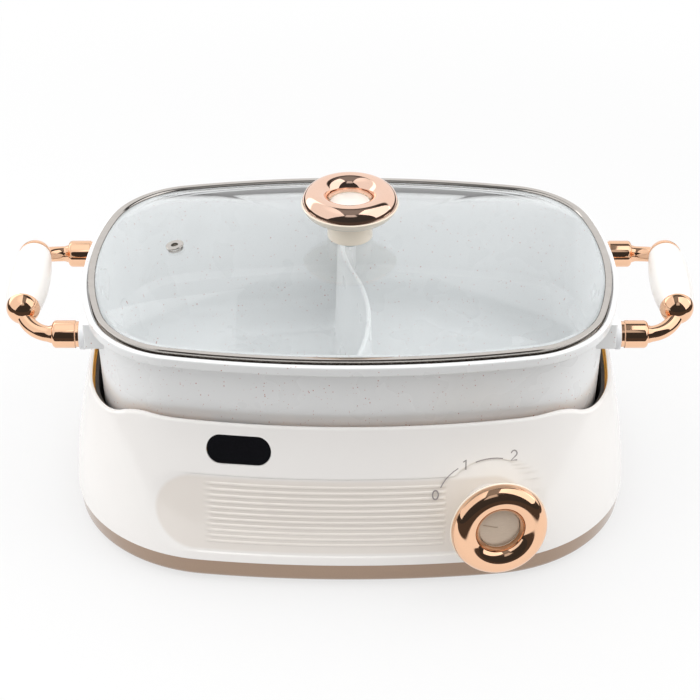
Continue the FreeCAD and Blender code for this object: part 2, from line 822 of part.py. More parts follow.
def dial_disc():
    """The dial's centre disc with its engraved pointer line."""
    disc = turned(knob_disc_section())
    top = disc_thick - disc_sink
    reach = knob_r - 2 * knob_tube_r - 2.5
    line = Part.makeBox(pointer_length, pointer_width, 1,
                        Vector(reach - pointer_length, -pointer_width / 2, top - pointer_depth))
    line.rotate(Vector(0, 0, 0), Z_AXIS, dial_mark_off)
    return in_dial_frame(disc.cut(line))


# ---- Heater

def heat_liner():
    """The dark sheet bowl round the heater, with a small lip at its top."""
    low, high = liner_floor_z, liner_floor_z + liner_sheet
    liner = filled(liner_plan, [
        (-liner_lip, liner_top_z), (-liner_lip, liner_top_z - liner_sheet),
        (0, liner_top_z - liner_sheet), (liner_taper, low, 6.0), (core_inset, low),
        (core_inset, high), (liner_taper + liner_sheet, high, 5.0),
        (liner_sheet, liner_top_z)], low, high)
    for x, y in tray_boss_spots:
        liner = liner.cut(rod(screw_r + hole_gap, Vector(x, y, low - 1), Z_AXIS, 3))
    for x, y in post_spots():
        liner = liner.cut(rod(stud_r + hole_gap, Vector(x, y, low - 1), Z_AXIS, 3))
    for side in SIDES:
        spot = Vector(side * element_gap_x, element_half_y, low - 1)
        liner = liner.cut(rod(element_r + 2, spot, Z_AXIS, 3))
    return liner.cut(rod(sensor_stem_r + slip_gap, Vector(0, 0, low - 1), Z_AXIS, 3))


def liner_screws():
    top = liner_floor_z + liner_sheet
    return Part.makeCompound([pan_screw(x, y, top + screw_head, top - liner_screw_length)
                              for x, y in tray_boss_spots])


def post_spots():
    return [(sx * post_x, sy * post_y) for sx in SIDES for sy in SIDES]


def plate_levels():
    """Underside of the plate, its top, and the end of the ridge round the element."""
    top = pot_base_z - slip_gap
    under = top - plate_thick
    return under, top, under - ridge_depth


def element_z():
    return plate_levels()[2] + 2.5


def heating_plate():
    """The cast plate under the pot, with a ridge that clasps the element."""
    under, top, ridge = plate_levels()
    plate = prism(inset(pot_plan, plate_inset), under, top)
    rim = [edge for edge in plate.Edges if abs(edge.CenterOfMass.z - top) < 0.01]
    plate = plate.makeFillet(1.0, rim)
    plate = plate.fuse(loop_band(ridge_half, ridge, under))
    groove = element_r + 0.1
    slot = loop_band(groove, ridge, element_z())
    plate = plate.cut(slot).cut(element_ring(groove))
    plate = plate.cut(rod(plate_hole_r, Vector(0, 0, ridge), Z_AXIS, top - ridge))
    for x, y in post_spots():
        plate = plate.cut(rod(stud_r + thread_gap, Vector(x, y, under), Z_AXIS, stud_bite + 0.3))
    return plate.removeSplitter()


def element_ring(radius):
    """The whole loop of a round bar on the element's line."""
    path = loop_wire(element_half_x, element_half_y, element_corner, element_z())
    edge = path.Edges[0]
    start, tangent = edge.valueAt(edge.FirstParameter), edge.tangentAt(edge.FirstParameter)
    circle = Part.Wire([Part.makeCircle(radius, start, tangent)])
    return path.makePipeShell([circle], True, False)


def heating_element():
    """The sheathed element: a loop open at the back, its two ends turned down."""
    x, y, z = element_half_x, element_half_y, element_z()
    points = [Vector(-element_gap_x, y, element_tail_z), Vector(-element_gap_x, y, z), Vector(-x, y, z),
              Vector(-x, -y, z), Vector(x, -y, z), Vector(x, y, z), Vector(element_gap_x, y, z),
              Vector(element_gap_x, y, element_tail_z)]
    bends = [element_tail_bend] + [element_corner] * 4 + [element_tail_bend]
    return round_bar(points, element_r, bends)


def element_terminals():
    """The pins out of the element's two ends."""
    length = element_tail_z - terminal_end_z
    return Part.makeCompound([rod(terminal_r, Vector(side * element_gap_x, element_half_y, terminal_end_z),
                                  Z_AXIS, length) for side in SIDES])


def plate_posts():
    low, high = liner_floor_z + liner_sheet, plate_levels()[0]
    return Part.makeCompound([tube(post_r, stud_r + thread_gap, Vector(x, y, low), Z_AXIS, high - low)
                              for x, y in post_spots()])


def plate_studs():
    """Studs from the plate down through the posts, with room for the nuts."""
    low, high = washer_z() - stud_nut - 1, plate_levels()[0] + stud_bite
    return Part.makeCompound([rod(stud_r, Vector(x, y, low), Z_AXIS, high - low)
                              for x, y in post_spots()])


def plate_nuts():
    nuts = []
    for x, y in post_spots():
        base = Vector(x, y, washer_z() - stud_nut)
        nut = hexagon(plate_nut_across, base, Z_AXIS, stud_nut)
        nuts.append(nut.cut(rod(stud_r + thread_gap, base, Z_AXIS, stud_nut)))
    return Part.makeCompound(nuts)


# ---- Temperature sensor

def sensor_top_z():
    return pot_base_z - slip_gap


def sensor_cap():
    """The sprung button under the pot, on its stem."""
    top = sensor_top_z()
    return turned([(0, top), (sensor_r, top, 0.8), (sensor_r, top - sensor_thick),
                   (sensor_stem_r, top - sensor_thick), (sensor_stem_r, sensor_stem_end_z),
                   (0, sensor_stem_end_z)])


def sensor_guide():
    """The flanged tube on the liner's floor that the stem slides in."""
    low = liner_floor_z + liner_sheet
    guide_top_z = sensor_top_z() - sensor_thick - sensor_travel - guide_clear
    bore = sensor_stem_r + 0.1
    return turned([(bore, low), (guide_flange_r, low), (guide_flange_r, low + guide_flange),
                   (guide_r, low + guide_flange), (guide_r, guide_top_z), (bore, guide_top_z)])


def sensor_spring():
    low = liner_floor_z + liner_sheet + guide_flange + spring_wire_r
    high = sensor_top_z() - sensor_thick - spring_wire_r
    radius = (guide_r + sensor_r) / 2
    helix = Part.makeHelix((high - low) / spring_turns, high - low, radius)
    helix.translate(Vector(0, 0, low))
    circle = Part.Wire([Part.makeCircle(spring_wire_r, Vector(radius, 0, low), Y_AXIS)])
    return Part.Wire(helix.Edges).makePipeShell([circle], True, True)


def sensor_clip():
    """The ring on the stem that stops it under the liner."""
    top = liner_floor_z - slip_gap
    base = Vector(0, 0, top - clip_thick)
    return tube(sensor_stem_r + 3, sensor_stem_r + thread_gap, base, Z_AXIS, clip_thick)


# ---- Power inlet

def inlet_screws():
    """Two screws through the inlet's flange, their heads outside."""
    screws = []
    for side in SIDES:
        head = inlet_pad_y + inlet_flange + screw_head
        base = Vector(side * inlet_screw_x, head, inlet_z)
        screws.append(turned([(0, 0), (screw_head_r, 0, 0.6), (screw_head_r, screw_head),
                              (screw_r, screw_head), (screw_r, inlet_screw_length),
                              (0, inlet_screw_length)], base, -Y_AXIS))
    return Part.makeCompound(screws)


def power_inlet():
    """The socket for the lead: a flanged box with a deep mouth."""
    face = inlet_pad_y + inlet_flange
    flange = box(0, inlet_flange_width, inlet_pad_y, face,
                 inlet_z - inlet_flange_height / 2, inlet_z + inlet_flange_height / 2)
    upright = [e for e in flange.Edges if abs(e.tangentAt(0).y) > 0.5]
    flange = flange.makeFillet(3, upright)
    body = box(0, inlet_width, face - inlet_depth, inlet_pad_y,
               inlet_z - inlet_height / 2, inlet_z + inlet_height / 2)
    mouth = box(0, inlet_width - 2 * inlet_wall, face - inlet_cavity_depth, face,
                inlet_z - inlet_height / 2 + inlet_wall, inlet_z + inlet_height / 2 - inlet_wall)
    upright = [e for e in mouth.Edges if abs(e.tangentAt(0).y) > 0.5]
    inlet = flange.fuse(body).cut(mouth.makeFillet(2.5, upright)).cut(inlet_blades())
    for side in SIDES:
        inlet = inlet.cut(rod(screw_r + hole_gap, Vector(side * inlet_screw_x, inlet_pad_y, inlet_z),
                              Y_AXIS, inlet_flange))
    return inlet.removeSplitter()


def blade_spots():
    """X and Z of the three blades: two for power below, the earth above."""
    return ((-blade_pitch, inlet_z - blade_rise), (blade_pitch, inlet_z - blade_rise),
            (0.0, inlet_z + blade_rise))


def inlet_blades():
    face = inlet_pad_y + inlet_flange
    low, high = face - inlet_depth - blade_tail, face - blade_sink
    return Part.makeCompound([box(x, blade_thick, low, high, z - blade_width / 2, z + blade_width / 2)
                              for x, z in blade_spots()])


# ---- Pot

def rim_under_z():
    return pot_rim_z - rim_height


def pot_outside():
    """The pot as if it were solid: its rim's plate on its leaning wall."""
    under = rim_under_z()
    rim = filled(pot_plan, [(0, pot_rim_z, 1.2), (0, under, 1.6), (core_inset, under),
                            (core_inset, pot_rim_z)], under, pot_rim_z)
    foot = -1.1 * rim_fillet
    body = filled(pot_wall_plan, [
        (foot, under + 1), (foot, under), (0, under, rim_fillet), (pot_draft, pot_base_z, pot_corner_round),
        (core_inset, pot_base_z), (core_inset, under + 1)], pot_base_z, under + 1)
    return rim.fuse(body).removeSplitter()


def pot_cavity():
    """The room inside the pot, with the rebate that the lid sits in."""
    seat = pot_rim_z - rim_seat_depth
    lean = pot_draft * (rim_under_z() - pot_step_z) / (rim_under_z() - pot_base_z)
    ledge = pot_wall + lean + pot_step
    floor, above = pot_base_z + pot_floor, pot_rim_z + 5
    rebate = prism(inset(pot_plan, rim_lip), seat, above)
    edge = pot_wall - 1.5 * seat_round
    wells = filled(pot_wall_plan, [
        (edge, above), (edge, seat), (pot_wall, seat, seat_round), (ledge - pot_step, pot_step_z + 1, 2.5),
        (ledge, pot_step_z - 3, 2.0), (ledge + pot_foot_draft, floor, pot_corner_round - pot_wall),
        (core_inset, floor), (core_inset, above)], floor, above)
    return rebate.fuse(wells).removeSplitter()


def divider_outline(half, z):
    """The S-shaped outline of the divider, this far to each side of its line."""
    reach = pot_wall_plan.half_y
    radius = reach ** 2 / (8 * divider_swing) + divider_swing / 2
    lean = math.asin(reach / 2 / radius)

    def arc(sign, arc_r):
        """The front stretch for sign 1, the back one for -1."""
        centre = Vector(divider_x + sign * (divider_swing - radius), -sign * reach / 2, z)
        points = [centre + Vector(sign * math.cos(a), math.sin(a), 0) * arc_r for a in (-lean, 0, lean)]
        return Part.Arc(*points).toShape()

    right = [arc(1, radius + half), arc(-1, radius - half)]
    left = [arc(1, radius - half), arc(-1, radius + half)]
    front = Part.LineSegment(left[0].Vertexes[0].Point, right[0].Vertexes[0].Point).toShape()
    back = Part.LineSegment(right[1].Vertexes[-1].Point, left[1].Vertexes[-1].Point).toShape()
    return Part.Wire(Part.sortEdges(right + [back] + left + [front])[0])


def divider():
    """The cast wall between the two wells, thinner towards its rounded top."""
    low, high = pot_base_z + pot_floor / 2, divider_top_z
    wall = Part.makeLoft([divider_outline(divider_foot_half, low),
                          divider_outline(divider_top_half, high)], True, True)
    top = [edge for edge in wall.Edges
           if abs(edge.CenterOfMass.z - high) < 0.01 and edge.Length > 2 * divider_foot_half]
    return wall.makeFillet(divider_top_half * 0.8, top)


def handle_lugs():
    """Four blocks under the rim, drilled for the handle studs."""
    lugs = []
    inner_x = pot_wall_plan.half_x - 15
    for sx in SIDES:
        for sy in SIDES:
            lug = Part.makeBox(lug_end_x - inner_x, 2 * lug_half_y, rim_under_z() - lug_bottom_z + 1,
                               Vector(inner_x, handle_y - lug_half_y, lug_bottom_z))
            low = [edge for edge in lug.Edges if abs(edge.tangentAt(0).x) > 0.5
                   and edge.CenterOfMass.z < lug_bottom_z + 1]
            lugs.append(flipped(lug.makeFillet(3.0, low), sx, sy))
    return lugs


def flipped(shape, sign_x, sign_y):
    """The right rear piece mirrored to the quarter with these signs."""
    if sign_x < 0:
        shape = shape.mirror(Vector(0, 0, 0), X_AXIS)
    if sign_y < 0:
        shape = shape.mirror(Vector(0, 0, 0), Y_AXIS)
    return shape


def inner_pot():
    """The cast pot: rim, stepped wall, floor, divider and handle lugs in one piece."""
    pot = pot_outside()
    for lug in handle_lugs():
        pot = pot.fuse(lug)
    pot = pot.cut(pot_cavity().cut(divider()))
    for sx in SIDES:
        for sy in SIDES:
            hole = Vector(sx * (lug_end_x - handle_stud_bite), sy * handle_y, handle_z)
            pot = pot.cut(rod(handle_stud_r + thread_gap, hole, X_AXIS * sx, handle_stud_bite + 1))
    return pot.removeSplitter()


# ---- Side handles

def ferrule_x():
    """Where the metal ferrule starts, outside the lug and its washer."""
    return lug_end_x + washer_thick


def handle_washers():
    washers = []
    for sx in SIDES:
        for sy in SIDES:
            base = Vector(lug_end_x, handle_y, handle_z)
            ring = tube(washer_r, handle_stud_r + hole_gap, base, X_AXIS, washer_thick)
            washers.append(flipped(ring, sx, sy))
    return Part.makeCompound(washers)


def handle_studs():
    """The threaded studs between the lugs and the ferrules."""
    studs = []
    for sx in SIDES:
        for sy in SIDES:
            base = Vector(lug_end_x - handle_stud_bite, handle_y, handle_z)
            length = 2 * handle_stud_bite + washer_thick
            studs.append(flipped(rod(handle_stud_r, base, X_AXIS, length), sx, sy))
    return Part.makeCompound(studs)


def ball_centre():
    """Middle of the ball at the right rear handle's outer end."""
    lean = math.radians(elbow_lean)
    return Vector(ferrule_x() + ferrule_length + elbow_bend,
                  handle_y - elbow_bend * math.cos(lean), handle_z + elbow_bend * math.sin(lean))


def handle_elbow(sign_x, sign_y):
    """One polished casting: ferrule, bent neck, and the ball that caps the grip."""
    start = Vector(ferrule_x(), handle_y, handle_z)
    neck = start + X_AXIS * ferrule_length
    ferrule = turned([(0, 0), (ferrule_r - 0.6, 0, 0.4), (ferrule_r - 0.6, 2.0), (ferrule_r, 2.6, 0.4),
                      (ferrule_r, ferrule_length, 2.6), (elbow_r, ferrule_length), (0, ferrule_length)],
                     start, X_AXIS)
    ball = ball_centre()
    lean = math.radians(elbow_lean)
    inward = Vector(0, -math.cos(lean), math.sin(lean))
    middle = neck + X_AXIS * (elbow_bend * math.sin(math.pi / 4)) \
        + inward * (elbow_bend * (1 - math.cos(math.pi / 4)))
    path = Part.Wire([Part.LineSegment(neck - X_AXIS, neck).toShape(),
                      Part.Arc(neck, middle, ball).toShape()])
    circle = Part.Wire([Part.makeCircle(elbow_r, neck - X_AXIS, X_AXIS)])
    bend = path.makePipeShell([circle], True, False)
    cap = Part.makeSphere(ball_r, ball)
    beyond = Part.makeBox(6 * ball_r, 4 * ball_r, 4 * ball_r,
                          Vector(ball.x - 3 * ball_r, grip_half - 4 * ball_r, ball.z - 2 * ball_r))
    elbow = ferrule.fuse(bend).fuse(cap).cut(beyond)
    elbow = elbow.cut(rod(handle_stud_r + thread_gap, start, X_AXIS, handle_stud_bite + 0.5))
    elbow = elbow.cut(rod(rod_r + thread_gap, Vector(ball.x, grip_half - 1, ball.z), Y_AXIS, rod_bite + 1.5))
    return flipped(elbow.removeSplitter(), sign_x, sign_y)


def grip(sign_x):
    """The barrel-shaped grip between the two balls of one handle."""
    ball = ball_centre()
    swell = Part.Arc(Vector(grip_end_r, 0, -grip_half), Vector(grip_mid_r, 0, 0),
                     Vector(grip_end_r, 0, grip_half)).toShape()
    bore = rod_r + hole_gap
    outline = Part.Wire([swell, Part.makePolygon([
        Vector(grip_end_r, 0, grip_half), Vector(bore, 0, grip_half),
        Vector(bore, 0, -grip_half), Vector(grip_end_r, 0, -grip_half)])])
    barrel = Part.Face(outline).revolve(Vector(0, 0, 0), Z_AXIS, 360)
    ends = [edge for edge in barrel.Edges if abs(abs(edge.CenterOfMass.z) - grip_half) < 0.01
            and edge.Length > 2 * math.pi * (grip_end_r - 1)]
    barrel = barrel.makeFillet(grip_end_round, ends)
    return flipped(placed(barrel, Vector(ball.x, 0, ball.z), Y_AXIS), sign_x, 1)


def grip_rods():
    """The steel rods through the two grips, into the balls."""
    ball = ball_centre()
    reach = grip_half + rod_bite
    bars = [flipped(rod(rod_r, Vector(ball.x, -reach, ball.z), Y_AXIS, 2 * reach), sx, 1) for sx in SIDES]
    return Part.makeCompound(bars)


# ---- Lid

def lid_plan():
    """Outer outline of the lid's steel rim, inside the lip of the pot's rim."""
    return inset(pot_plan, rim_lip + slip_gap)


def lid_base_z():
    """Underside of the lid's rim, which rests on the pot's rebate."""
    return pot_rim_z - rim_seat_depth


def glass_edge():
    """Underside and top of the glass where the steel rim clasps it."""
    low = lid_base_z() + lid_rim_sheet + 0.1
    return low, low + glass_thick


def glass_top_z():
    return glass_edge()[1] + glass_rise


def lid_rim():
    """The folded steel band round the glass."""
    low = lid_base_z()
    high = glass_edge()[1] + 0.1 + lid_rim_sheet
    sheet = lid_rim_sheet
    return swept(lid_plan(), [
        (0, low, 1.0), (0, high, 2.0), (lid_rim_width, high, 0.3), (lid_rim_width, high - sheet, 0.3),
        (sheet, high - sheet, 1.2), (sheet, low + sheet), (lid_rim_width, low + sheet, 0.3),
        (lid_rim_width, low, 0.3)])


def dome(base_inset, base_z):
    """A dome of scaled outlines over this inset of the lid's outline, flat in its middle."""
    base = inset(lid_plan(), base_inset)
    shares = [1 - (1 - dome_flat) * (i / 8) ** 0.8 for i in range(9)]
    flat = 1 - dome_flat ** dome_power
    return loft([(scaled(base, share), base_z + glass_rise * (1 - share ** dome_power) / flat)
                 for share in shares])


def vent_axis():
    """Where the vent passes through the glass, and its outward direction."""
    low, high = glass_edge()
    reach = lid_plan().half_x - lid_rim_width - 0.6
    share = abs(vent_x) / reach
    flat = 1 - dome_flat ** dome_power
    z = high + glass_rise * (1 - share ** dome_power) / flat
    slope = glass_rise * dome_power * share ** (dome_power - 1) / flat / reach
    return Vector(vent_x, vent_y, z), Vector(-slope, 0, 1).normalize()


def lid_glass():
    """The clear dome with its level edge, screw hole and vent hole."""
    low, high = glass_edge()
    edge_inset = lid_rim_sheet + glass_edge_gap
    flat_inset = lid_rim_width + 0.6
    glass = prism(inset(lid_plan(), edge_inset), low, high).fuse(dome(flat_inset, high))
    glass = glass.cut(dome(flat_inset + glass_thick, low))
    hole = rod(knob_screw_r + hole_gap, Vector(0, 0, low), Z_AXIS, glass_rise + 2 * glass_thick)
    glass = glass.cut(hole)
    spot, axis = vent_axis()
    return glass.cut(rod(vent_r, spot - axis * 3 * glass_thick, axis, 5 * glass_thick)).removeSplitter()


def vent_eyelet():
    """The flanged metal tube in the vent hole."""
    spot, axis = vent_axis()
    low, high = -glass_thick - 2 * vent_seal, vent_seal
    outer = vent_r - thread_gap
    inner_flange_r = vent_r + 1.5 * vent_sheet
    low_end, high_end = low - vent_sheet, high + vent_sheet
    return turned([(vent_bore_r, low_end), (vent_bore_r, high_end, 0.3), (vent_flange_r, high_end, 0.5),
                   (vent_flange_r, high), (outer, high), (outer, low), (inner_flange_r, low),
                   (inner_flange_r, low_end, 0.3)], spot, axis)


def knob_base():
    """The cream stem and cup of the lid's knob."""
    seam = Vector(0, 0, glass_top_z() + knob_height)
    base = turned(knob_base_section(knob_height - knob_cup)).cut(knob_pocket())
    bore = Part.makeCylinder(knob_screw_r + thread_gap, knob_screw_bite + 1, Vector(0, 0, -knob_height))
    return placed(base.cut(bore), seam)


def knob_ring():
    return turned(knob_ring_section(), Vector(0, 0, glass_top_z() + knob_height))


def knob_disc():
    return turned(knob_disc_section(), Vector(0, 0, glass_top_z() + knob_height))


def knob_washer():
    under = glass_top_z() - glass_thick - knob_washer_thick
    return tube(knob_washer_r, knob_screw_r + hole_gap, Vector(0, 0, under), Z_AXIS, knob_washer_thick)


def knob_screw():
    """The screw up through the washer and the glass into the knob."""
    under = glass_top_z() - glass_thick - knob_washer_thick
    head = under - knob_screw_head
    top = glass_top_z() + knob_screw_bite
    return turned([(0, head), (knob_screw_head_r, head, 1.2), (knob_screw_head_r, under),
                   (knob_screw_r, under), (knob_screw_r, top), (0, top)])


# ---- Wiring under the liner

def wire(points):
    return round_bar([Vector(*point) for point in points], wire_r, [wire_bend] * (len(points) - 2))


def blade_end(index):
    """Inner end of one of the inlet's blades."""
    x, z = blade_spots()[index]
    return x, inlet_pad_y + inlet_flange - inlet_depth - blade_tail, z


def thermostat_blades():
    """Two blades out of the thermostat's lower side."""
    middle = thermostat_face() - thermostat_depth / 2
    blades = [Part.makeBox(blade_width, thermostat_r, 0.8,
                           Vector(side * thermostat_blade_x - blade_width / 2, -2 * thermostat_r + 6, 0))
              for side in SIDES]
    return Part.makeCompound([in_dial_frame(blade, middle) for blade in blades])


def thermostat_blade_end(side):
    """Lower end of a thermostat blade, a wire's radius below it."""
    middle = thermostat_face() - thermostat_depth / 2
    axis, right = dial_axis(), dial_right()
    up = axis.cross(right)
    end = dial_point(middle) + right * (side * thermostat_blade_x) - up * (2 * thermostat_r - 6 + 0.3)
    return end.x, end.y, end.z


def thermal_fuse():
    x, y, z = fuse_spot
    return rod(fuse_r, Vector(x - fuse_length / 2, y, z), X_AXIS, fuse_length)


def fuse_clip():
    """The saddle on the tray that holds the fuse."""
    x, y, z = fuse_spot
    floor = tray_floor_top()
    clip = box(x, fuse_length / 2.5, y - fuse_r - 2, y + fuse_r + 2, floor, z)
    return clip.cut(rod(fuse_r + thread_gap, Vector(x - fuse_length / 2, y, z), X_AXIS, fuse_length))


def terminal_block():
    """The block where the wires meet, on the tray."""
    x, y = block_spot
    floor = tray_floor_top()
    return box(x, block_size[0], y - block_size[1] / 2, y + block_size[1] / 2, floor, floor + block_size[2])


def block_port(column, side):
    """A wire's end at the front (side -1) or back (1) of the block, left to right columns."""
    x, y = block_spot
    return (x + (column - 1) * block_pitch, y + side * (block_size[1] / 2 + wire_gap),
            tray_floor_top() + block_size[2] / 2)


def live_wire():
    """Inlet to fuse."""
    x, y, z = blade_end(1)
    fx, fy, fz = fuse_spot
    start = fx - fuse_length / 2 - wire_gap
    return wire([(x, y - wire_gap, z), (x, y - 5, z), (x, y - 5, fz), (start - 12, fy, fz), (start, fy, fz)])


def fuse_wire():
    """Fuse round the right side to the thermostat."""
    fx, fy, fz = fuse_spot
    start = fx + fuse_length / 2 + wire_gap
    ex, ey, ez = thermostat_blade_end(1)
    return wire([(start, fy, fz), (start + 30, fy, fz), (wire_side_x, fy - 30, fz),
                 (wire_side_x, ey + 30, fz), (ex + 12, ey, fz), (ex, ey, fz), (ex, ey, ez)])


def switched_wire():
    """Thermostat to the terminal block."""
    ex, ey, ez = thermostat_blade_end(-1)
    bx, by, bz = block_port(2, -1)
    return wire([(ex, ey, ez), (ex, ey, bz), (ex - 12, ey + 8, bz), (bx, by - 14, bz), (bx, by, bz)])


def neutral_wire():
    """Inlet to the terminal block."""
    x, y, z = blade_end(0)
    bx, by, bz = block_port(0, 1)
    return wire([(x, y - wire_gap, z), (x, y - 5, z), (x, y - 5, bz), (bx, by + 50, bz), (bx, by, bz)])


def element_wires():
    """Terminal block to the element's two terminals."""
    wires = []
    for column, side in ((1, -1), (2, 1)):
        bx, by, bz = block_port(column, 1)
        x, y, z = side * element_gap_x, element_half_y, terminal_end_z - wire_gap
        wires.append(wire([(bx, by, bz), (bx, by + 14, bz), (x, y - 10, bz), (x, y, bz), (x, y, z)]))
    return Part.makeCompound(wires)


def lamp_wires():
    """Lamp board down behind the casing to the terminal block."""
    middle, across, normal = window_frame()
    back = lamp_depths()[2] + wire_gap
    wires = []
    for column in (0, 1):
        start = middle - normal * (back + wire_r) + across * ((column * 2 - 1) * 6)
        bx, by, bz = block_port(column, -1)
        wires.append(wire([(start.x, start.y, start.z - 3), (start.x, start.y, lamp_wire_z),
                           (start.x, start.y - 6, lamp_wire_z - 30), (start.x, start.y - 6, bz),
                           (bx, by - 14, bz), (bx, by, bz)]))
    return Part.makeCompound(wires)


def earth_wire():
    """Inlet's earth blade to the tag on the liner."""
    x, y, z = blade_end(2)
    ex, ey, ez = earth_tag_end()
    return wire([(x, y - wire_gap, z), (x, y - 4, z), (x, y - 4, ez), (x - 12, y - 20, ez),
                 (ex + 42, ey + 11, ez), (ex, ey, ez)])


def washer_z():
    return liner_floor_z - plate_washer


def plate_washers():
    """Washers under the liner at three of the plate's studs."""
    return Part.makeCompound([tube(post_r, stud_r + hole_gap, Vector(x, y, washer_z()), Z_AXIS, plate_washer)
                              for x, y in post_spots()[:1] + post_spots()[2:]])


def earth_tag():
    """The tag that takes a washer's place at the left rear stud."""
    x, y = post_spots()[1]
    tag = rod(post_r, Vector(x, y, washer_z()), Z_AXIS, plate_washer)
    tag = tag.fuse(box(x + post_r + 3, 10, y - 2, y + 2, washer_z(), liner_floor_z))
    return tag.cut(rod(stud_r + hole_gap, Vector(x, y, washer_z()), Z_AXIS, plate_washer)).removeSplitter()


def earth_tag_end():
    """Where the earth wire meets the tag, under its tail."""
    x, y = post_spots()[1]
    return x + post_r + 8.2, y, washer_z() - wire_r - 0.1


def save(name, shape):
    """Writes one piece."""
    shape.exportStep("parts/" + name + ".step")


PIECES = {
    "base_tray": base_tray,
    "rubber_feet": rubber_feet,
    "casing_screws": casing_screws,
    "outer_casing": outer_casing,
    "window_lens": window_lens,
    "lamps": lamps,
    "lamp_board": lamp_board,
    "thermostat_body": thermostat_body,
    "thermostat_blades": thermostat_blades,
    "thermostat_nut": thermostat_nut,
    "thermostat_shaft": thermostat_shaft,
    "dial_base": dial_base,
    "dial_ring": dial_ring,
    "dial_disc": dial_disc,
    "heat_liner": heat_liner,
    "liner_screws": liner_screws,
    "heating_plate": heating_plate,
    "heating_element": heating_element,
    "element_terminals": element_terminals,
    "plate_posts": plate_posts,
    "plate_studs": plate_studs,
    "plate_washers": plate_washers,
    "plate_nuts": plate_nuts,
    "earth_tag": earth_tag,
    "sensor_cap": sensor_cap,
    "sensor_guide": sensor_guide,
    "sensor_spring": sensor_spring,
    "sensor_clip": sensor_clip,
    "power_inlet": power_inlet,
    "inlet_blades": inlet_blades,
    "inlet_screws": inlet_screws,
    "thermal_fuse": thermal_fuse,
    "fuse_clip": fuse_clip,
    "terminal_block": terminal_block,
    "live_wire": live_wire,
    "fuse_wire": fuse_wire,
    "switched_wire": switched_wire,
    "neutral_wire": neutral_wire,
    "element_wires": element_wires,
    "lamp_wires": lamp_wires,
    "earth_wire": earth_wire,
    "inner_pot": inner_pot,
    "handle_washers": handle_washers,
    "handle_studs": handle_studs,
    "grip_rods": grip_rods,
    "lid_glass": lid_glass,
    "lid_rim": lid_rim,
    "vent_eyelet": vent_eyelet,
    "knob_base": knob_base,
    "knob_ring": knob_ring,
    "knob_disc": knob_disc,
    "knob_washer": knob_washer,
    "knob_screw": knob_screw,
}


def main():
    os.makedirs("parts", exist_ok=True)
    for name, make in PIECES.items():
        save(name, make())
    for side, sign_x in (("left", -1), ("right", 1)):
        save("grip_" + side, grip(sign_x))
        for end, sign_y in (("front", -1), ("rear", 1)):
            save("elbow_" + side + "_" + end, handle_elbow(sign_x, sign_y))


main()
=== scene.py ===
"""Looks of the electric hot pot with its divided pot and loose glass lid.

Works in millimetres, with front at -Y, and scales to metres as each mesh is made.
"""
import math
from collections import namedtuple

import bmesh
import bpy
from bpy.props import FloatProperty, FloatVectorProperty, IntProperty, PointerProperty
from mathutils import Matrix, Vector


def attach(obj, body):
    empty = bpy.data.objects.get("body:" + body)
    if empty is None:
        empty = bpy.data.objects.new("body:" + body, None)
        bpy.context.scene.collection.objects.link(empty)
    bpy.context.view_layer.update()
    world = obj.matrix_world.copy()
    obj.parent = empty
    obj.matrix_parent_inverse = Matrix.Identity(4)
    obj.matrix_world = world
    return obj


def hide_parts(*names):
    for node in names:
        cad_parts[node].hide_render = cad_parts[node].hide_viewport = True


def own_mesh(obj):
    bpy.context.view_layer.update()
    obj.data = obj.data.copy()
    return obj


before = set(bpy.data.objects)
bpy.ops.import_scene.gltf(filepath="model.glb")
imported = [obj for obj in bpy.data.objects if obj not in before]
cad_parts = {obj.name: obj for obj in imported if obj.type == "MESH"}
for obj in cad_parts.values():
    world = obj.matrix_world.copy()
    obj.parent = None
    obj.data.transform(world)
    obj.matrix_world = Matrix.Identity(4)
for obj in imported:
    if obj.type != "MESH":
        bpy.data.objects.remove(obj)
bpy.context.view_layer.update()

bl_info = {
    "name": "Electric hot pot",
    "version": (1, 0, 0),
    "blender": (4, 5, 0),
    "location": "View3D > Sidebar > Hot pot",
    "description": "Builds the visible pieces of an electric hot pot round its CAD frame",
    "category": "Object",
}

MM = 0.001
SIDES = (-1, 1)
Plan = namedtuple("Plan", "half_x half_y front_r side_r corner_r")

# ---- Fixed shape of the cooker, in mm; the same values drive its CAD source
CASING_FOOT = Plan(173.5, 127.0, 700.0, 350.0, 94.0)
CASING_BROW = Plan(160.0, 104.0, 567.0, 375.0, 71.4)
POT_PLAN = Plan(163.5, 111.5, 560.0, 205.0, 62.0)
POT_WALL_PLAN = Plan(156.3, 98.5, 547.0, 280.0, 60.0)
LINER_PLAN = Plan(157.7, 101.5, 549.0, 320.0, 64.0)
FOOT_HEIGHT, SEAM_Z, CASING_TOP_Z, CASING_END_Z = 2.5, 17.0, 101.0, 90.6
LEAN_POWER = 1.6
SCOOP_START, SCOOP_END = 119.0, 153.9
POT_BASE_Z, POT_RIM_Z = 62.0, 149.0
RIM_HEIGHT, RIM_LIP, SEAT_DEPTH, RIM_FILLET, SEAT_ROUND = 6.8, 3.2, 1.8, 3.5, 2.0
POT_WALL, POT_STEP_Z, POT_STEP, POT_DRAFT, POT_FOOT_DRAFT = 2.6, 92.0, 3.0, 3.0, 4.0
CORE = 45.0
WINDOW_X, WINDOW_Z, WINDOW_WIDTH, WINDOW_HEIGHT = -65.6, 87.0, 38.4, 16.6
DIAL_X, DIAL_Z, DIAL_YAW, DIAL_TILT, DIAL_STANDOFF = 83.2, 51.0, 11.0, 8.0, 22.0
DIAL_OFF = 162.0
WELL_R = 30.0
SCREW_HEAD_R, SCREW_HEAD = 3.0, 1.7
SCREW_R = 1.5
SIDE_BOSS, FRONT_BOSS = (159.5, 45.0), (60.0, 114.0)
FOOT_X, FOOT_Y = 128.0, 84.0
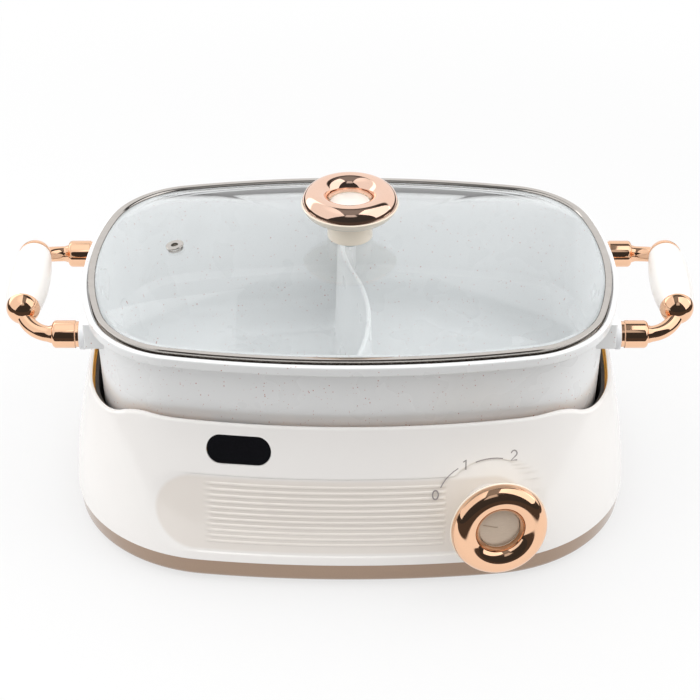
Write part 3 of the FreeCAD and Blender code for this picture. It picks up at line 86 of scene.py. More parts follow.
TRAY_POSTS = ((-80, -68), (0, -72), (80, -68), (-80, 68), (0, 72), (80, 68))
LINER_FLOOR_Z, LINER_TOP_Z = 33.0, 86.0
INLET_Z, INLET_PAD_Y, INLET_SCREW_X = 44.0, 124.5, 20.0
LUG_END_X, HANDLE_Y, HANDLE_Z = 159.0, 47.0, 130.4
WASHER_R, WASHER_THICK = 9.2, 3.2
FERRULE_R, FERRULE_LENGTH, NECK_R, NECK_BEND, NECK_LEAN = 8.4, 16.5, 4.8, 18.9, 26.0
BALL_R, GRIP_HALF, GRIP_END_R = 10.3, 30.6, 9.9
LID_RIM_WIDTH, LID_RIM_SHEET, DOME_POWER, DOME_FLAT = 4.6, 0.8, 2.2, 0.14
VENT_X, VENT_Y, VENT_R = -107.0, 2.0, 3.6
KNOB_HEIGHT, KNOB_CUP, KNOB_CUP_R, KNOB_STEM_R, KNOB_RING_HEIGHT = 23.0, 6.5, 29.8, 13.8, 8.0
TRAY_FLOOR, SENSOR_TRAVEL = 2.5, 2.5
PANEL_LOW, PANEL_HIGH, PANEL_LEFT, PANEL_Z, PANEL_R = 21.5, 82.5, -93.0, 47.5, 24.5
PANEL_EDGE, PANEL_SOFT_END, PANEL_SOFT_RUN = 0.9, 6.0, 14.0
RIB_TOP, RIB_LEFT, RIB_FADE = 67.5, -88.0, 7.0
PAD_X, PAD_LOW, PAD_HIGH, PAD_DEPTH = 26.0, 29.5, 58.5, 9.0
MARK_DEPTH = 0.15
GRIT_CELL = 2.37     # from one speckle's place to the next in the pot's coating

# ---- Holes and posts, radii in mm
THREAD_HOLE, STUD_HOLE, CLEAR_HOLE, HEAD_HOLE, WIRE_HOLE = 1.55, 2.55, 1.8, 3.3, 6.0
POST_R = 5.0

# ---- Points round an outline: for half a side, a corner, half the back, half the front
PLAIN_STEPS, TRAY_STEPS, POT_STEPS = (8, 20, 16, 16), (12, 30, 20, 20), (14, 34, 26, 26)
CASING_STEPS = (10, 30, 20, 100)
# A quarter turn in steps of 15 degrees, for rounded edges
QUARTER_TURN = [math.radians(15 * i) for i in range(1, 7)]

# ---- Studio, in metres and degrees; the camera looks down at the point CAMERA_AIM above the origin
CAMERA_PITCH, CAMERA_DISTANCE, CAMERA_AIM, CAMERA_LENS = 33.38, 1.3804, 0.088, 112.84
# Each softbox: name, its lower and upper edge (x, z), its front and rear end in y, and its radiance
SOFTBOXES = (("left", (-0.85, 0.2), (-0.2, 1.15), (-0.67, 0.67), 0.92),
             ("right", (0.9, 0.226), (0.33, 1.4), (-0.5, 0.28), 1.3))
MIRRORED_BOX = 3.0    # a softbox is this much brighter in polished metal, so that it burns out to white
AMBIENT, AMBIENT_ABOVE = 0.45, 0.82
FLOOR_REACH = 6.0
FLOOR_GLOW = 0.7     # how much of the floor's look is its own glow, which keeps the shadow light
TABLE_SIDE, TABLE_FRONT, TABLE_BACK = 0.6, -0.28, 9.0
GLOW_NEAR, GLOW_FAR = 0.42, 0.75
# Half the white sweep's width and its height, in degrees, as polished metal sees it, and its soft edge
SWEEP_TURN, SWEEP_HEIGHT, SWEEP_EDGE = 75.0, 52.0, (0.9, 1.08)
# The dark room's own light, and how much more it has towards its ceiling, between these heights
ROOM_LIGHT, ROOM_RISE, ROOM_HEIGHTS = 0.04, 0.22, (50.0, 75.0)
# A pale patch on its ceiling: how bright, from and to round the room, and from and to in height
PATCH_LIGHT, PATCH_TURN, PATCH_HEIGHTS = 0.6, (-15, 20), (45, 65)


# ---- Settings in the sidebar

def size(label, tells, value):
    """A length in millimetres, kept in metres."""
    return FloatProperty(name=label, description=tells, default=value * MM, unit="LENGTH",
                         precision=5, min=0.0)


def colour(label, tells, code):
    """A colour given as an sRGB hex code."""
    return FloatVectorProperty(name=label, description=tells, default=linear(code)[:3],
                               subtype="COLOR", size=3, min=0.0, max=1.0)


def linear(code):
    """Scene-linear RGBA of an sRGB hex code."""
    channels = [int(code[i:i + 2], 16) / 255 for i in (1, 3, 5)]
    return [c / 12.92 if c <= 0.04045 else ((c + 0.055) / 1.055) ** 2.4 for c in channels] + [1.0]


class HotPotSizes(bpy.types.PropertyGroup):
    """Sizes of the cooker's visible pieces."""
    casing_wall: size("Casing wall", "Thickness of the outer casing", 3.0)
    casing_edge: size("Casing edge", "Rounding of the casing's top edge", 1.2)
    panel_depth: size("Panel depth", "How far the front panel is sunk", 0.9)
    rib_sink: size("Rib sink", "How far the ribs lie below the casing's face", 0.35)
    rib_width: size("Rib width", "Height of each level rib", 1.5)
    rib_pitch: size("Rib pitch", "From one rib to the next", 3.6)
    print_thick: size("Print thickness", "How far printed marks stand on the casing", 0.05)
    divider_foot: size("Divider foot", "Half thickness of the pot's divider at its foot", 4.0)
    divider_top: size("Divider top", "Half thickness of the divider at its top", 1.4)
    glass_thick: size("Glass thickness", "Thickness of the lid's glass", 3.0)
    glass_rise: size("Glass rise", "Height of the lid's dome above its edge", 20.8)
    knob_radius: size("Knob radius", "Radius of the lid's knob and of the dial", 28.8)
    knob_tube: size("Knob ring width", "Half the width of the knobs' metal rings", 8.1)
    grip_radius: size("Grip radius", "Radius of the grips at their middle", 12.7)
    foot_radius: size("Foot radius", "Radius of the rubber feet", 9.0)
    speckle_size: size("Speckle size", "Radius of the largest speckles in the pot's coating", 0.46)
    rib_count: IntProperty(name="Ribs", description="How many level ribs the panel has", default=11, min=0)


class HotPotColours(bpy.types.PropertyGroup):
    """Colours of the cooker's main finishes."""
    casing: colour("Casing", "Moulded gloss plastic of the casing", "#F3F0ED")
    tray: colour("Tray", "Pearl bronze plastic of the tray", "#A98C74")
    metal: colour("Rose metal", "Plated castings and rings", "#FACBA8")
    cream: colour("Cream", "Gloss plastic of the knobs", "#FCF0DE")
    grips: colour("Grips", "Satin plastic of the grips", "#F1EEEA")
    coating: colour("Pot coating", "Ceramic coating of the pot", "#F0F1F1")
    speckle: colour("Speckles", "Coloured grit in the coating", "#B0503C")
    marks: colour("Marks", "Printed dial marks", "#9A9494")


def mm(name):
    """One of the sidebar's sizes, in millimetres."""
    return getattr(bpy.context.scene.hot_pot_sizes, name) / MM


def shade(name):
    """One of the sidebar's colours."""
    return [*getattr(bpy.context.scene.hot_pot_colours, name), 1.0]


# ---- Outlines

def inset(plan, distance):
    return Plan(*(value - distance for value in plan))


def scaled(plan, share):
    return Plan(*(value * share for value in plan))


def quarter_arcs(plan):
    """Centre, radius, first and last angle of the three arcs in the outline's first quarter."""
    side = Vector((plan.half_x - plan.side_r, 0.0))
    front = Vector((0.0, plan.half_y - plan.front_r))
    to_front, to_side = plan.front_r - plan.corner_r, plan.side_r - plan.corner_r
    gap = side - front
    along = gap.normalized()
    reach = (to_front ** 2 - to_side ** 2 + gap.length ** 2) / (2 * gap.length)
    rise = math.sqrt(to_front ** 2 - reach ** 2)
    corner = front + along * reach + Vector((along.y, -along.x)) * rise
    if corner.x < 0 or corner.y < 0:
        corner = front + along * reach - Vector((along.y, -along.x)) * rise
    first = math.atan2(corner.y - side.y, corner.x - side.x)
    last = math.atan2(corner.y - front.y, corner.x - front.x)
    return ((side, plan.side_r, 0.0, first), (corner, plan.corner_r, first, last),
            (front, plan.front_r, last, math.pi / 2))


def ring(plan, steps=PLAIN_STEPS):
    """Points (x, y, nx, ny) round an outline."""
    arcs = quarter_arcs(plan)

    def quarter(counts):
        points = []
        for (centre, radius, low, high), count in zip(arcs, counts):
            for i in range(count):
                angle = low + (high - low) * i / count
                nx, ny = math.cos(angle), math.sin(angle)
                points.append((centre.x + radius * nx, centre.y + radius * ny, nx, ny))
        points.append((0.0, plan.half_y, 0.0, 1.0))
        return points

    back = quarter((steps[0], steps[1], steps[2]))
    front = quarter((steps[0], steps[1], steps[3]))
    first = back[:-1]
    second = [(-x, y, -nx, ny) for x, y, nx, ny in reversed(back[1:])]
    third = [(-x, -y, -nx, -ny) for x, y, nx, ny in front[:-1]]
    fourth = [(x, -y, nx, -ny) for x, y, nx, ny in reversed(front[1:])]
    return first + second + third + fourth


def level(plan, z, steps=PLAIN_STEPS):
    """Points of an outline at one height."""
    return [(x, y, z) for x, y, _, _ in ring(plan, steps)]


def corner_spots(x, y):
    """The four places (x, y), mirrored both ways."""
    return [(sx * x, sy * y) for sx in SIDES for sy in SIDES]


def rounded(corners, steps=6):
    """A polyline through (a, b) corners; a third number in a corner rounds it."""
    path, count = [], len(corners)
    for i, corner in enumerate(corners):
        if len(corner) < 3:
            path.append(tuple(corner))
            continue
        here = Vector(corner[:2])
        back = (Vector(corners[i - 1][:2]) - here).normalized()
        on = (Vector(corners[(i + 1) % count][:2]) - here).normalized()
        half = back.angle(on) / 2
        tangent, middle = corner[2] / math.tan(half), (back + on).normalized()
        centre = here + middle * (corner[2] / math.sin(half))
        start, end = here + back * tangent - centre, here + on * tangent - centre
        for j in range(steps + 1):
            turn = start.angle(end) * j / steps
            way = start * math.cos(turn) + side_of(start, end) * math.sin(turn)
            path.append(tuple(centre + way))
    return path


def side_of(start, end):
    """The vector as long as start, square to it, on end's side."""
    square = Vector((-start.y, start.x))
    return square if square.dot(end) > 0 else -square


def casing_plan(z):
    share = (max(z - SEAM_Z, 0.0) / (CASING_TOP_Z - SEAM_Z)) ** LEAN_POWER
    return Plan(*(low + (high - low) * share for low, high in zip(CASING_FOOT, CASING_BROW)))


def front_y(x, z, depth=0.0):
    """Y of the casing's face in front, this far inside it."""
    plan = inset(casing_plan(z), depth)
    return plan.front_r - plan.half_y - math.sqrt(plan.front_r ** 2 - x ** 2)


def scoop_z(x):
    """Height of the casing's edge at x, lower at the two ends."""
    run, drop = SCOOP_END - SCOOP_START, CASING_TOP_Z - CASING_END_Z
    radius = (run ** 2 + drop ** 2) / (4 * drop)
    past = abs(x) - SCOOP_START
    if past <= 0:
        return CASING_TOP_Z
    if past >= run:
        return CASING_END_Z
    if past < run / 2:
        return CASING_TOP_Z - radius + math.sqrt(radius ** 2 - past ** 2)
    return CASING_END_Z + radius - math.sqrt(radius ** 2 - (run - past) ** 2)


# ---- Meshes

def placed(name, data):
    """An object of this data in the scene."""
    item = bpy.data.objects.new(name, data)
    bpy.context.scene.collection.objects.link(item)
    return item


def baked(item, *tools):
    """The plain mesh that an object's modifiers make; the object and its tools go."""
    graph = bpy.context.evaluated_depsgraph_get()
    graph.update()
    mesh = bpy.data.meshes.new_from_object(item.evaluated_get(graph))
    item.modifiers.clear()
    for spent in (item, *tools):
        bpy.data.objects.remove(spent)
    return mesh


def finished(name, mesh, *materials, body, slot, replaced=(), sharp=35.0):
    """A piece's object from its mesh: smooth but for sharp edges, riding on its body."""
    mesh.name = name
    mesh.materials.clear()
    for material in materials:
        mesh.materials.append(material)
    mesh.shade_smooth()
    mesh.set_sharp_from_angle(angle=math.radians(sharp))
    piece = placed(name, mesh)
    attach(piece, body)
    if replaced:
        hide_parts(*replaced)
    return piece


def mesh_of(points, faces):
    """A mesh from points in mm, with its faces turned outwards."""
    mesh = bpy.data.meshes.new("shape")
    mesh.from_pydata([[value * MM for value in point] for point in points], [], faces)
    shape = bmesh.new()
    shape.from_mesh(mesh)
    bmesh.ops.remove_doubles(shape, verts=shape.verts, dist=1e-7)
    bmesh.ops.recalc_face_normals(shape, faces=shape.faces)
    shape.to_mesh(mesh)
    shape.free()
    mesh.validate()
    return mesh


def skin(rows, closed_rows=False):
    """A mesh through rows of points, each row a closed ring; open ends are capped."""
    width = len(rows[0])
    points = [point for row in rows for point in row]
    faces = []
    for i in range(len(rows) - (0 if closed_rows else 1)):
        low, high = i * width, (i + 1) % len(rows) * width
        for j in range(width):
            k = (j + 1) % width
            faces.append((low + j, low + k, high + k, high + j))
    if not closed_rows:
        faces.append(tuple(range(width)))
        faces.append(tuple(range(len(points) - width, len(points))))
    return mesh_of(points, faces)


def round_the(plan, section, steps=PLAIN_STEPS):
    """A mesh whose (inset, z) section follows an outline, capped flat at both ends."""
    return skin([level(inset(plan, depth), z, steps) for depth, z in section])


def lathe(section, segments=96):
    """A solid of revolution about Z of an (r, z) section from pole to pole."""
    rows = []
    for r, z in section:
        r = max(r, 1e-6)
        rows.append([(r * math.cos(a), r * math.sin(a), z)
                     for a in (2 * math.pi * i / segments for i in range(segments))])
    ends_meet = section[0] == section[-1]
    return skin(rows[:-1] if ends_meet else rows, ends_meet)


def moved(mesh, matrix):
    """The mesh moved by a matrix in millimetres."""
    matrix = matrix.copy()
    matrix.translation = matrix.translation * MM
    mesh.transform(matrix)
    if matrix.determinant() < 0:
        mesh.flip_normals()
    return mesh


def turned_to(base, axis):
    """Matrix that stands a shape made along Z on base, along axis."""
    turn = Vector(axis).to_track_quat("Z", "Y").to_matrix().to_4x4()
    return Matrix.Translation(Vector(base)) @ turn


def cylinder(radius, base, axis, length, segments=48):
    return moved(lathe([(0, 0), (radius, 0), (radius, length), (0, length)], segments),
                 turned_to(base, axis))


def uprights(radius, spots, low, length, segments=24):
    """Cylinders that stand at each (x, y) spot."""
    return [cylinder(radius, (x, y, low), (0, 0, 1), length, segments) for x, y in spots]


def block(low, high, bevel=0.0):
    """A box between two corners, with its edges along Y rounded."""
    corners = [(low[0], low[2]), (high[0], low[2]), (high[0], high[2]), (low[0], high[2])]
    outline = rounded([(*c, bevel) for c in corners]) if bevel else corners
    return skin([[(x, y, z) for x, z in outline] for y in (low[1], high[1])])


def stadium(centre_x, centre_z, reach, radius, count=24):
    """Points (x, z) of an outline with two round ends."""
    points = []
    for side, start in ((1, -90), (-1, 90)):
        for i in range(count + 1):
            angle = math.radians(start + 180 * i / count)
            points.append((centre_x + side * reach + radius * math.cos(angle),
                           centre_z + radius * math.sin(angle)))
    return points


def together(mesh, cutters, operation):
    """The mesh joined with or cut by other meshes."""
    target = placed("target", mesh)
    tools = [placed("tool", cutter) for cutter in cutters]
    for tool in tools:
        modifier = target.modifiers.new("join", "BOOLEAN")
        modifier.operation, modifier.solver, modifier.object = operation, "MANIFOLD", tool
    result = baked(target, *tools)
    for spent in (mesh, *cutters):
        bpy.data.meshes.remove(spent)
    if not result.polygons:
        raise RuntimeError("a solid was lost while it was cut")
    return result


def joined(meshes):
    """Separate solids as one mesh."""
    shape = bmesh.new()
    for mesh in meshes:
        shape.from_mesh(mesh)
        bpy.data.meshes.remove(mesh)
    whole = bpy.data.meshes.new("shape")
    shape.to_mesh(whole)
    shape.free()
    return whole


# ---- Node trees

def add(tree, kind, links=(), values=(), **settings):
    """A node with its settings; links and values go to its inputs by name or number."""
    node = tree.nodes.new(kind)
    for key, value in settings.items():
        setattr(node, key, value)
    for key, value in dict(values).items():
        node.inputs[key].default_value = value
    for key, output in dict(links).items():
        tree.links.new(output, node.inputs[key])
    return node


def new_tree(name, sockets):
    """An empty geometry tree with named inputs (name, kind, default)."""
    tree = bpy.data.node_groups.new(name, "GeometryNodeTree")
    tree.is_modifier = True
    tree.interface.new_socket("Geometry", in_out="OUTPUT", socket_type="NodeSocketGeometry")
    tree.interface.new_socket("Geometry", in_out="INPUT", socket_type="NodeSocketGeometry")
    for label, kind, default in sockets:
        socket = tree.interface.new_socket(label, in_out="INPUT", socket_type=kind)
        if default is not None:
            socket.default_value = default
    return tree


def end_tree(tree, geometry, given):
    """Realize Instances, Set Material and the output."""
    real = add(tree, "GeometryNodeRealizeInstances", {0: geometry})
    coated = add(tree, "GeometryNodeSetMaterial",
                 {"Geometry": real.outputs[0], "Material": given.outputs["Material"]})
    add(tree, "NodeGroupOutput", {0: coated.outputs[0]})
    return tree


def grown(data, tree, inputs):
    """The plain mesh that a geometry tree makes from mesh or curve data."""
    seed = placed("seed", data)
    modifier = seed.modifiers.new("nodes", "NODES")
    modifier.node_group = tree
    for item in tree.interface.items_tree:
        if item.in_out == "INPUT" and item.name in inputs:
            modifier[item.identifier] = inputs[item.name]
    return baked(seed)


def set_out_tree():
    """Sets one piece at each point of a mesh, turned as the point says."""
    tree = bpy.data.node_groups.get("Set out")
    if tree:
        return tree
    tree = new_tree("Set out", [("Piece", "NodeSocketObject", None),
                                ("Material", "NodeSocketMaterial", None)])
    given = add(tree, "NodeGroupInput")
    piece = add(tree, "GeometryNodeObjectInfo", {"Object": given.outputs["Piece"]})
    points = add(tree, "GeometryNodeMeshToPoints", {"Mesh": given.outputs[0]})
    turn = add(tree, "GeometryNodeInputNamedAttribute", values={"Name": "turn"}, data_type="FLOAT_VECTOR")
    spread = add(tree, "GeometryNodeInstanceOnPoints",
                 {"Points": points.outputs[0], "Instance": piece.outputs["Geometry"],
                  "Rotation": turn.outputs[0]})
    return end_tree(tree, spread.outputs[0], given)


def set_out(mesh, spots, material, turns=None):
    """Copies of a mesh at these spots, each turned by its own angles."""
    piece = placed("piece", mesh)
    points = bpy.data.meshes.new("spots")
    points.from_pydata([[value * MM for value in spot] for spot in spots], [], [])
    turn = points.attributes.new("turn", "FLOAT_VECTOR", "POINT")
    for i, angles in enumerate(turns or [(0, 0, 0)] * len(spots)):
        turn.data[i].vector = angles
    result = grown(points, set_out_tree(), {"Piece": piece, "Material": material})
    bpy.data.objects.remove(piece)
    return result


def band_tree():
    """A folded sheet, open on one side, that follows an outline."""
    tree = new_tree("Folded band", [("Width", "NodeSocketFloat", 0.004),
                                    ("Height", "NodeSocketFloat", 0.004),
                                    ("Round", "NodeSocketFloat", 0.001),
                                    ("Material", "NodeSocketMaterial", None)])
    given = add(tree, "NodeGroupInput")
    sheet = add(tree, "GeometryNodeCurvePrimitiveQuadrilateral",
                {"Width": given.outputs["Width"], "Height": given.outputs["Height"]}, mode="RECTANGLE")
    opened = add(tree, "GeometryNodeSetSplineCyclic", {"Geometry": sheet.outputs[0]}, {"Cyclic": False})
    folded = add(tree, "GeometryNodeFilletCurve",
                 {"Curve": opened.outputs[0], "Radius": given.outputs["Round"]},
                 {"Count": 6, "Limit Radius": True}, mode="POLY")
    upright = add(tree, "GeometryNodeSetCurveNormal", {"Curve": given.outputs[0]}, mode="Z_UP")
    swept = add(tree, "GeometryNodeCurveToMesh",
                {"Curve": upright.outputs[0], "Profile Curve": folded.outputs[0]}, {"Fill Caps": False})
    return end_tree(tree, swept.outputs[0], given)


# ---- Finishes

def blank(name):
    """A material with an empty node tree."""
    material = bpy.data.materials.new(name)
    material.use_nodes = True
    material.node_tree.nodes.clear()
    return material, material.node_tree


def finish(name, main, other, grain, rough, spread=0.04, bump=0.0, metal=0.0, stretch=(1, 1, 1), **extra):
    """A finish with a fine mottle: its colour, roughness and surface change over grain millimetres."""
    ready = bpy.data.materials.get(name)
    if ready:
        return ready
    material, tree = blank(name)
    place = add(tree, "ShaderNodeTexCoord")
    spaced = add(tree, "ShaderNodeMapping", {"Vector": place.outputs["Object"]}, {"Scale": stretch})
    mottle = add(tree, "ShaderNodeTexNoise", {"Vector": spaced.outputs[0]},
                 {"Scale": 1 / (grain * MM), "Detail": 3.0, "Roughness": 0.55})
    tint = add(tree, "ShaderNodeMix", {"Factor": mottle.outputs[0]}, {"A": main, "B": other},
               data_type="RGBA")
    gloss = add(tree, "ShaderNodeMapRange", {"Value": mottle.outputs[0]},
                {"To Min": max(rough - spread, 0.01), "To Max": rough + spread})
    values = {"Metallic": metal, **{key.replace("_", " ").title(): value for key, value in extra.items()}}
    skin_node = add(tree, "ShaderNodeBsdfPrincipled",
                    {"Base Color": tint.outputs["Result"], "Roughness": gloss.outputs[0]}, values)
    if bump:
        relief = add(tree, "ShaderNodeBump", {"Height": mottle.outputs[0]},
                     {"Strength": 0.5, "Distance": bump * MM})
        tree.links.new(relief.outputs[0], skin_node.inputs["Normal"])
    add(tree, "ShaderNodeOutputMaterial", {"Surface": skin_node.outputs[0]})
    return material


def darker(rgba, share):
    return [channel * share for channel in rgba[:3]] + [1.0]


def gloss_casing():
    """Injection-moulded gloss polypropylene: wet-looking, with a very slow ripple of the mould."""
    ready = bpy.data.materials.get("moulded gloss casing")
    if ready:
        return ready
    main = shade("casing")
    material = finish("moulded gloss casing", main, darker(main, 0.975), 35.0, 0.16, 0.02, bump=0.02,
                      coat_weight=0.35, coat_roughness=0.04)
    # Painted shade: the sunk panel at the front is tinted a darker beige, which stands in for the shade of
    # its recess and of the lower front
    tree = material.node_tree
    skin_node = next(node for node in tree.nodes if node.type == "BSDF_PRINCIPLED")
    place = add(tree, "ShaderNodeTexCoord")
    split = add(tree, "ShaderNodeSeparateXYZ", {0: place.outputs["Object"]})
    near = calc(tree, "MINIMUM", calc(tree, "MAXIMUM", split.outputs["X"], PANEL_LEFT * MM), DIAL_X * MM)
    aside = calc(tree, "SUBTRACT", split.outputs["X"], near)
    above = calc(tree, "SUBTRACT", split.outputs["Z"], PANEL_Z * MM)
    off = calc(tree, "SQRT", calc(tree, "MULTIPLY_ADD", aside, aside, calc(tree, "MULTIPLY", above, above)))
    fade, far, front_only, front_fade = 1.5, -1.0, -0.04, 0.01
    inside = calc(tree, "MULTIPLY", area_mask(tree, off, far, (PANEL_R - fade) * MM, fade * MM),
                  area_mask(tree, split.outputs["Y"], far, front_only, front_fade))
    # The painted shade is mixed into the casing colour over the panel
    panel_painted_shade = add(tree, "ShaderNodeMix",
                {"Factor": inside, "A": skin_node.inputs["Base Color"].links[0].from_socket},
                {"B": linear("#E6DFD8")}, data_type="RGBA")
    tree.links.new(panel_painted_shade.outputs["Result"], skin_node.inputs["Base Color"])
    return material


def painted_amber_reflection():
    """Painted warm reflection on the casing's inward faces: an amber colour stands in for the shaded, warmly
    lit cream wall in the gap, and it glows where light comes through the thin wall.
    """
    return finish("painted amber reflection", linear("#F0B478"), linear("#DC9A5A"), 20.0, 0.16, 0.04,
                  coat_weight=0.6, coat_roughness=0.05, subsurface_weight=1.0, subsurface_scale=0.025,
                  subsurface_radius=(1.0, 0.7, 0.5))


def pearl_tray():
    """ABS with a pearl bronze lacquer: fine metal flake under a clear coat."""
    main = shade("tray")
    return finish("pearl bronze tray", main, darker(main, 0.8), 0.5, 0.3, 0.06, metal=0.35,
                  coat_weight=0.8, coat_roughness=0.06)


def rose_plating():
    """Zinc castings, polished and plated rose gold: a mirror with the faintest polishing haze."""
    main = shade("metal")
    return finish("polished rose gold plate", main, darker(main, 0.96), 12.0, 0.06, 0.015, metal=1.0)


def lit_rose_plating():
    """Zinc casting of the lid's knob ring: a lit copy of the same mirror plating, its paler, pinker rose
    painted light for the ring that faces up.
    """
    main = linear("#F8D3BE")
    return finish("polished rose plate lit copy", main, darker(main, 0.96), 12.0, 0.06, 0.015, metal=1.0)


def cream_plastic():
    """Gloss cream ABS of the knobs' cups and stems."""
    main = shade("cream")
    return finish("gloss cream plastic", main, darker(main, 0.97), 18.0, 0.14, 0.03, bump=0.01,
                  coat_weight=0.4, coat_roughness=0.03)


def barrel_plastic():
    """Satin white ABS of the grips, with a softer shine than the knobs' cream."""
    main = shade("grips")
    return finish("satin white plastic", main, darker(main, 0.98), 18.0, 0.3, 0.03, bump=0.01,
                  coat_weight=0.15, coat_roughness=0.12)


def shaded_pearl_disc():
    """The dial's inner disc: satin pearl lacquer with a soft brushed haze; its darker, warmer colour is
    painted shade, a shaded copy of the knob's disc for its forward face.
    """
    return finish("satin pearl disc shaded copy", linear("#E0CDB9"), linear("#CFBBA6"), 4.0, 0.32, 0.06, metal=0.45,
                  stretch=(1, 6, 6), coat_weight=0.3, coat_roughness=0.1)


def lit_pearl_disc():
    """The disc in the lid's knob: a lit copy of the dial's disc, nearly white as painted light for its upward
    face, with a wet face.
    """
    return finish("pearl disc lit copy", linear("#EDE7E0"), linear("#E6DED5"), 6.0, 0.2, 0.03, coat_weight=0.3,
                  coat_roughness=0.05)


def speckled_coating():
    """Sprayed ceramic coating on cast aluminium: pale, satin, with rust-pink grit in it."""
    material, tree = blank("speckled ceramic coating")
    ground, grit = shade("coating"), shade("speckle")
    place = add(tree, "ShaderNodeTexCoord")
    cells = add(tree, "ShaderNodeTexVoronoi", {"Vector": place.outputs["Object"]},
                {"Scale": 1 / (GRIT_CELL * MM), "Randomness": 1.0}, voronoi_dimensions="3D", feature="F1")
    split = add(tree, "ShaderNodeSeparateColor", {"Color": cells.outputs["Color"]})
    # Distances come in cells, which leaves about one speckle in 23 square mm, of many sizes and strengths
    reach = mm("speckle_size") / GRIT_CELL
    grain = calc(tree, "MULTIPLY_ADD", split.outputs[0], reach * 0.75, reach * 0.25)
    inside = calc(tree, "SUBTRACT", grain, cells.outputs["Distance"])
    edge = add(tree, "ShaderNodeMapRange", {"Value": inside}, {"From Min": 0.0, "From Max": reach * 0.3})
    strength = calc(tree, "POWER", split.outputs[1], 1.6)
    spot = calc(tree, "MULTIPLY", edge.outputs[0], calc(tree, "MULTIPLY_ADD", strength, 0.6, 0.4))
    cloud = add(tree, "ShaderNodeTexNoise", {"Vector": place.outputs["Object"]},
                {"Scale": 1 / (30 * MM), "Detail": 2.0})
    base = add(tree, "ShaderNodeMix", {"Factor": cloud.outputs[0]},
               {"A": ground, "B": darker(ground, 0.985)}, data_type="RGBA")
    paint = add(tree, "ShaderNodeMix", {"Factor": spot, "A": base.outputs["Result"]},
                {"B": grit}, data_type="RGBA")
    peel = add(tree, "ShaderNodeTexNoise", {"Vector": place.outputs["Object"]},
               {"Scale": 1 / (1.6 * MM), "Detail": 1.0})
    relief = add(tree, "ShaderNodeBump", {"Height": peel.outputs[0]},
                 {"Strength": 0.4, "Distance": 0.02 * MM})
    gloss = add(tree, "ShaderNodeMapRange", {"Value": cloud.outputs[0]}, {"To Min": 0.24, "To Max": 0.32})
    coat = add(tree, "ShaderNodeBsdfPrincipled",
               {"Base Color": paint.outputs["Result"], "Roughness": gloss.outputs[0],
                "Normal": relief.outputs[0]},
               {"Coat Weight": 0.25, "Coat Roughness": 0.12})
    add(tree, "ShaderNodeOutputMaterial", {"Surface": coat.outputs[0]})
    return material


def lid_glass_finish():
    """Tempered soda-lime glass: clear, with the faintest blue-grey body tint, bright to shadow rays."""
    material, tree = blank("tempered lid glass")
    place = add(tree, "ShaderNodeTexCoord")
    wave = add(tree, "ShaderNodeTexNoise", {"Vector": place.outputs["Object"]}, {"Scale": 1 / (60 * MM)})
    relief = add(tree, "ShaderNodeBump", {"Height": wave.outputs[0]},
                 {"Strength": 0.2, "Distance": 0.02 * MM})
    clear = add(tree, "ShaderNodeBsdfPrincipled", {"Normal": relief.outputs[0]},
                {"Base Color": linear("#FBFDFE"), "Roughness": 0.0, "IOR": 1.5, "Transmission Weight": 1.0})
    through = add(tree, "ShaderNodeBsdfTransparent", values={"Color": linear("#FDFEFE")})
    ray = add(tree, "ShaderNodeLightPath")
    mixed = add(tree, "ShaderNodeMixShader",
                {0: ray.outputs["Is Shadow Ray"], 1: clear.outputs[0], 2: through.outputs[0]})
    add(tree, "ShaderNodeOutputMaterial", {"Surface": mixed.outputs[0]})
    return material


def smoked_lens():
    """The window: near-black acrylic with a mirror face."""
    return finish("smoked acrylic window", linear("#0C0C0F"), linear("#121216"), 20.0, 0.06, 0.01,
                  coat_weight=0.5, coat_roughness=0.02)


def mark_ink():
    """Pad-printed grey ink, matt on the gloss casing."""
    main = shade("marks")
    return finish("pad printed grey ink", main, darker(main, 0.9), 1.0, 0.5, 0.05)


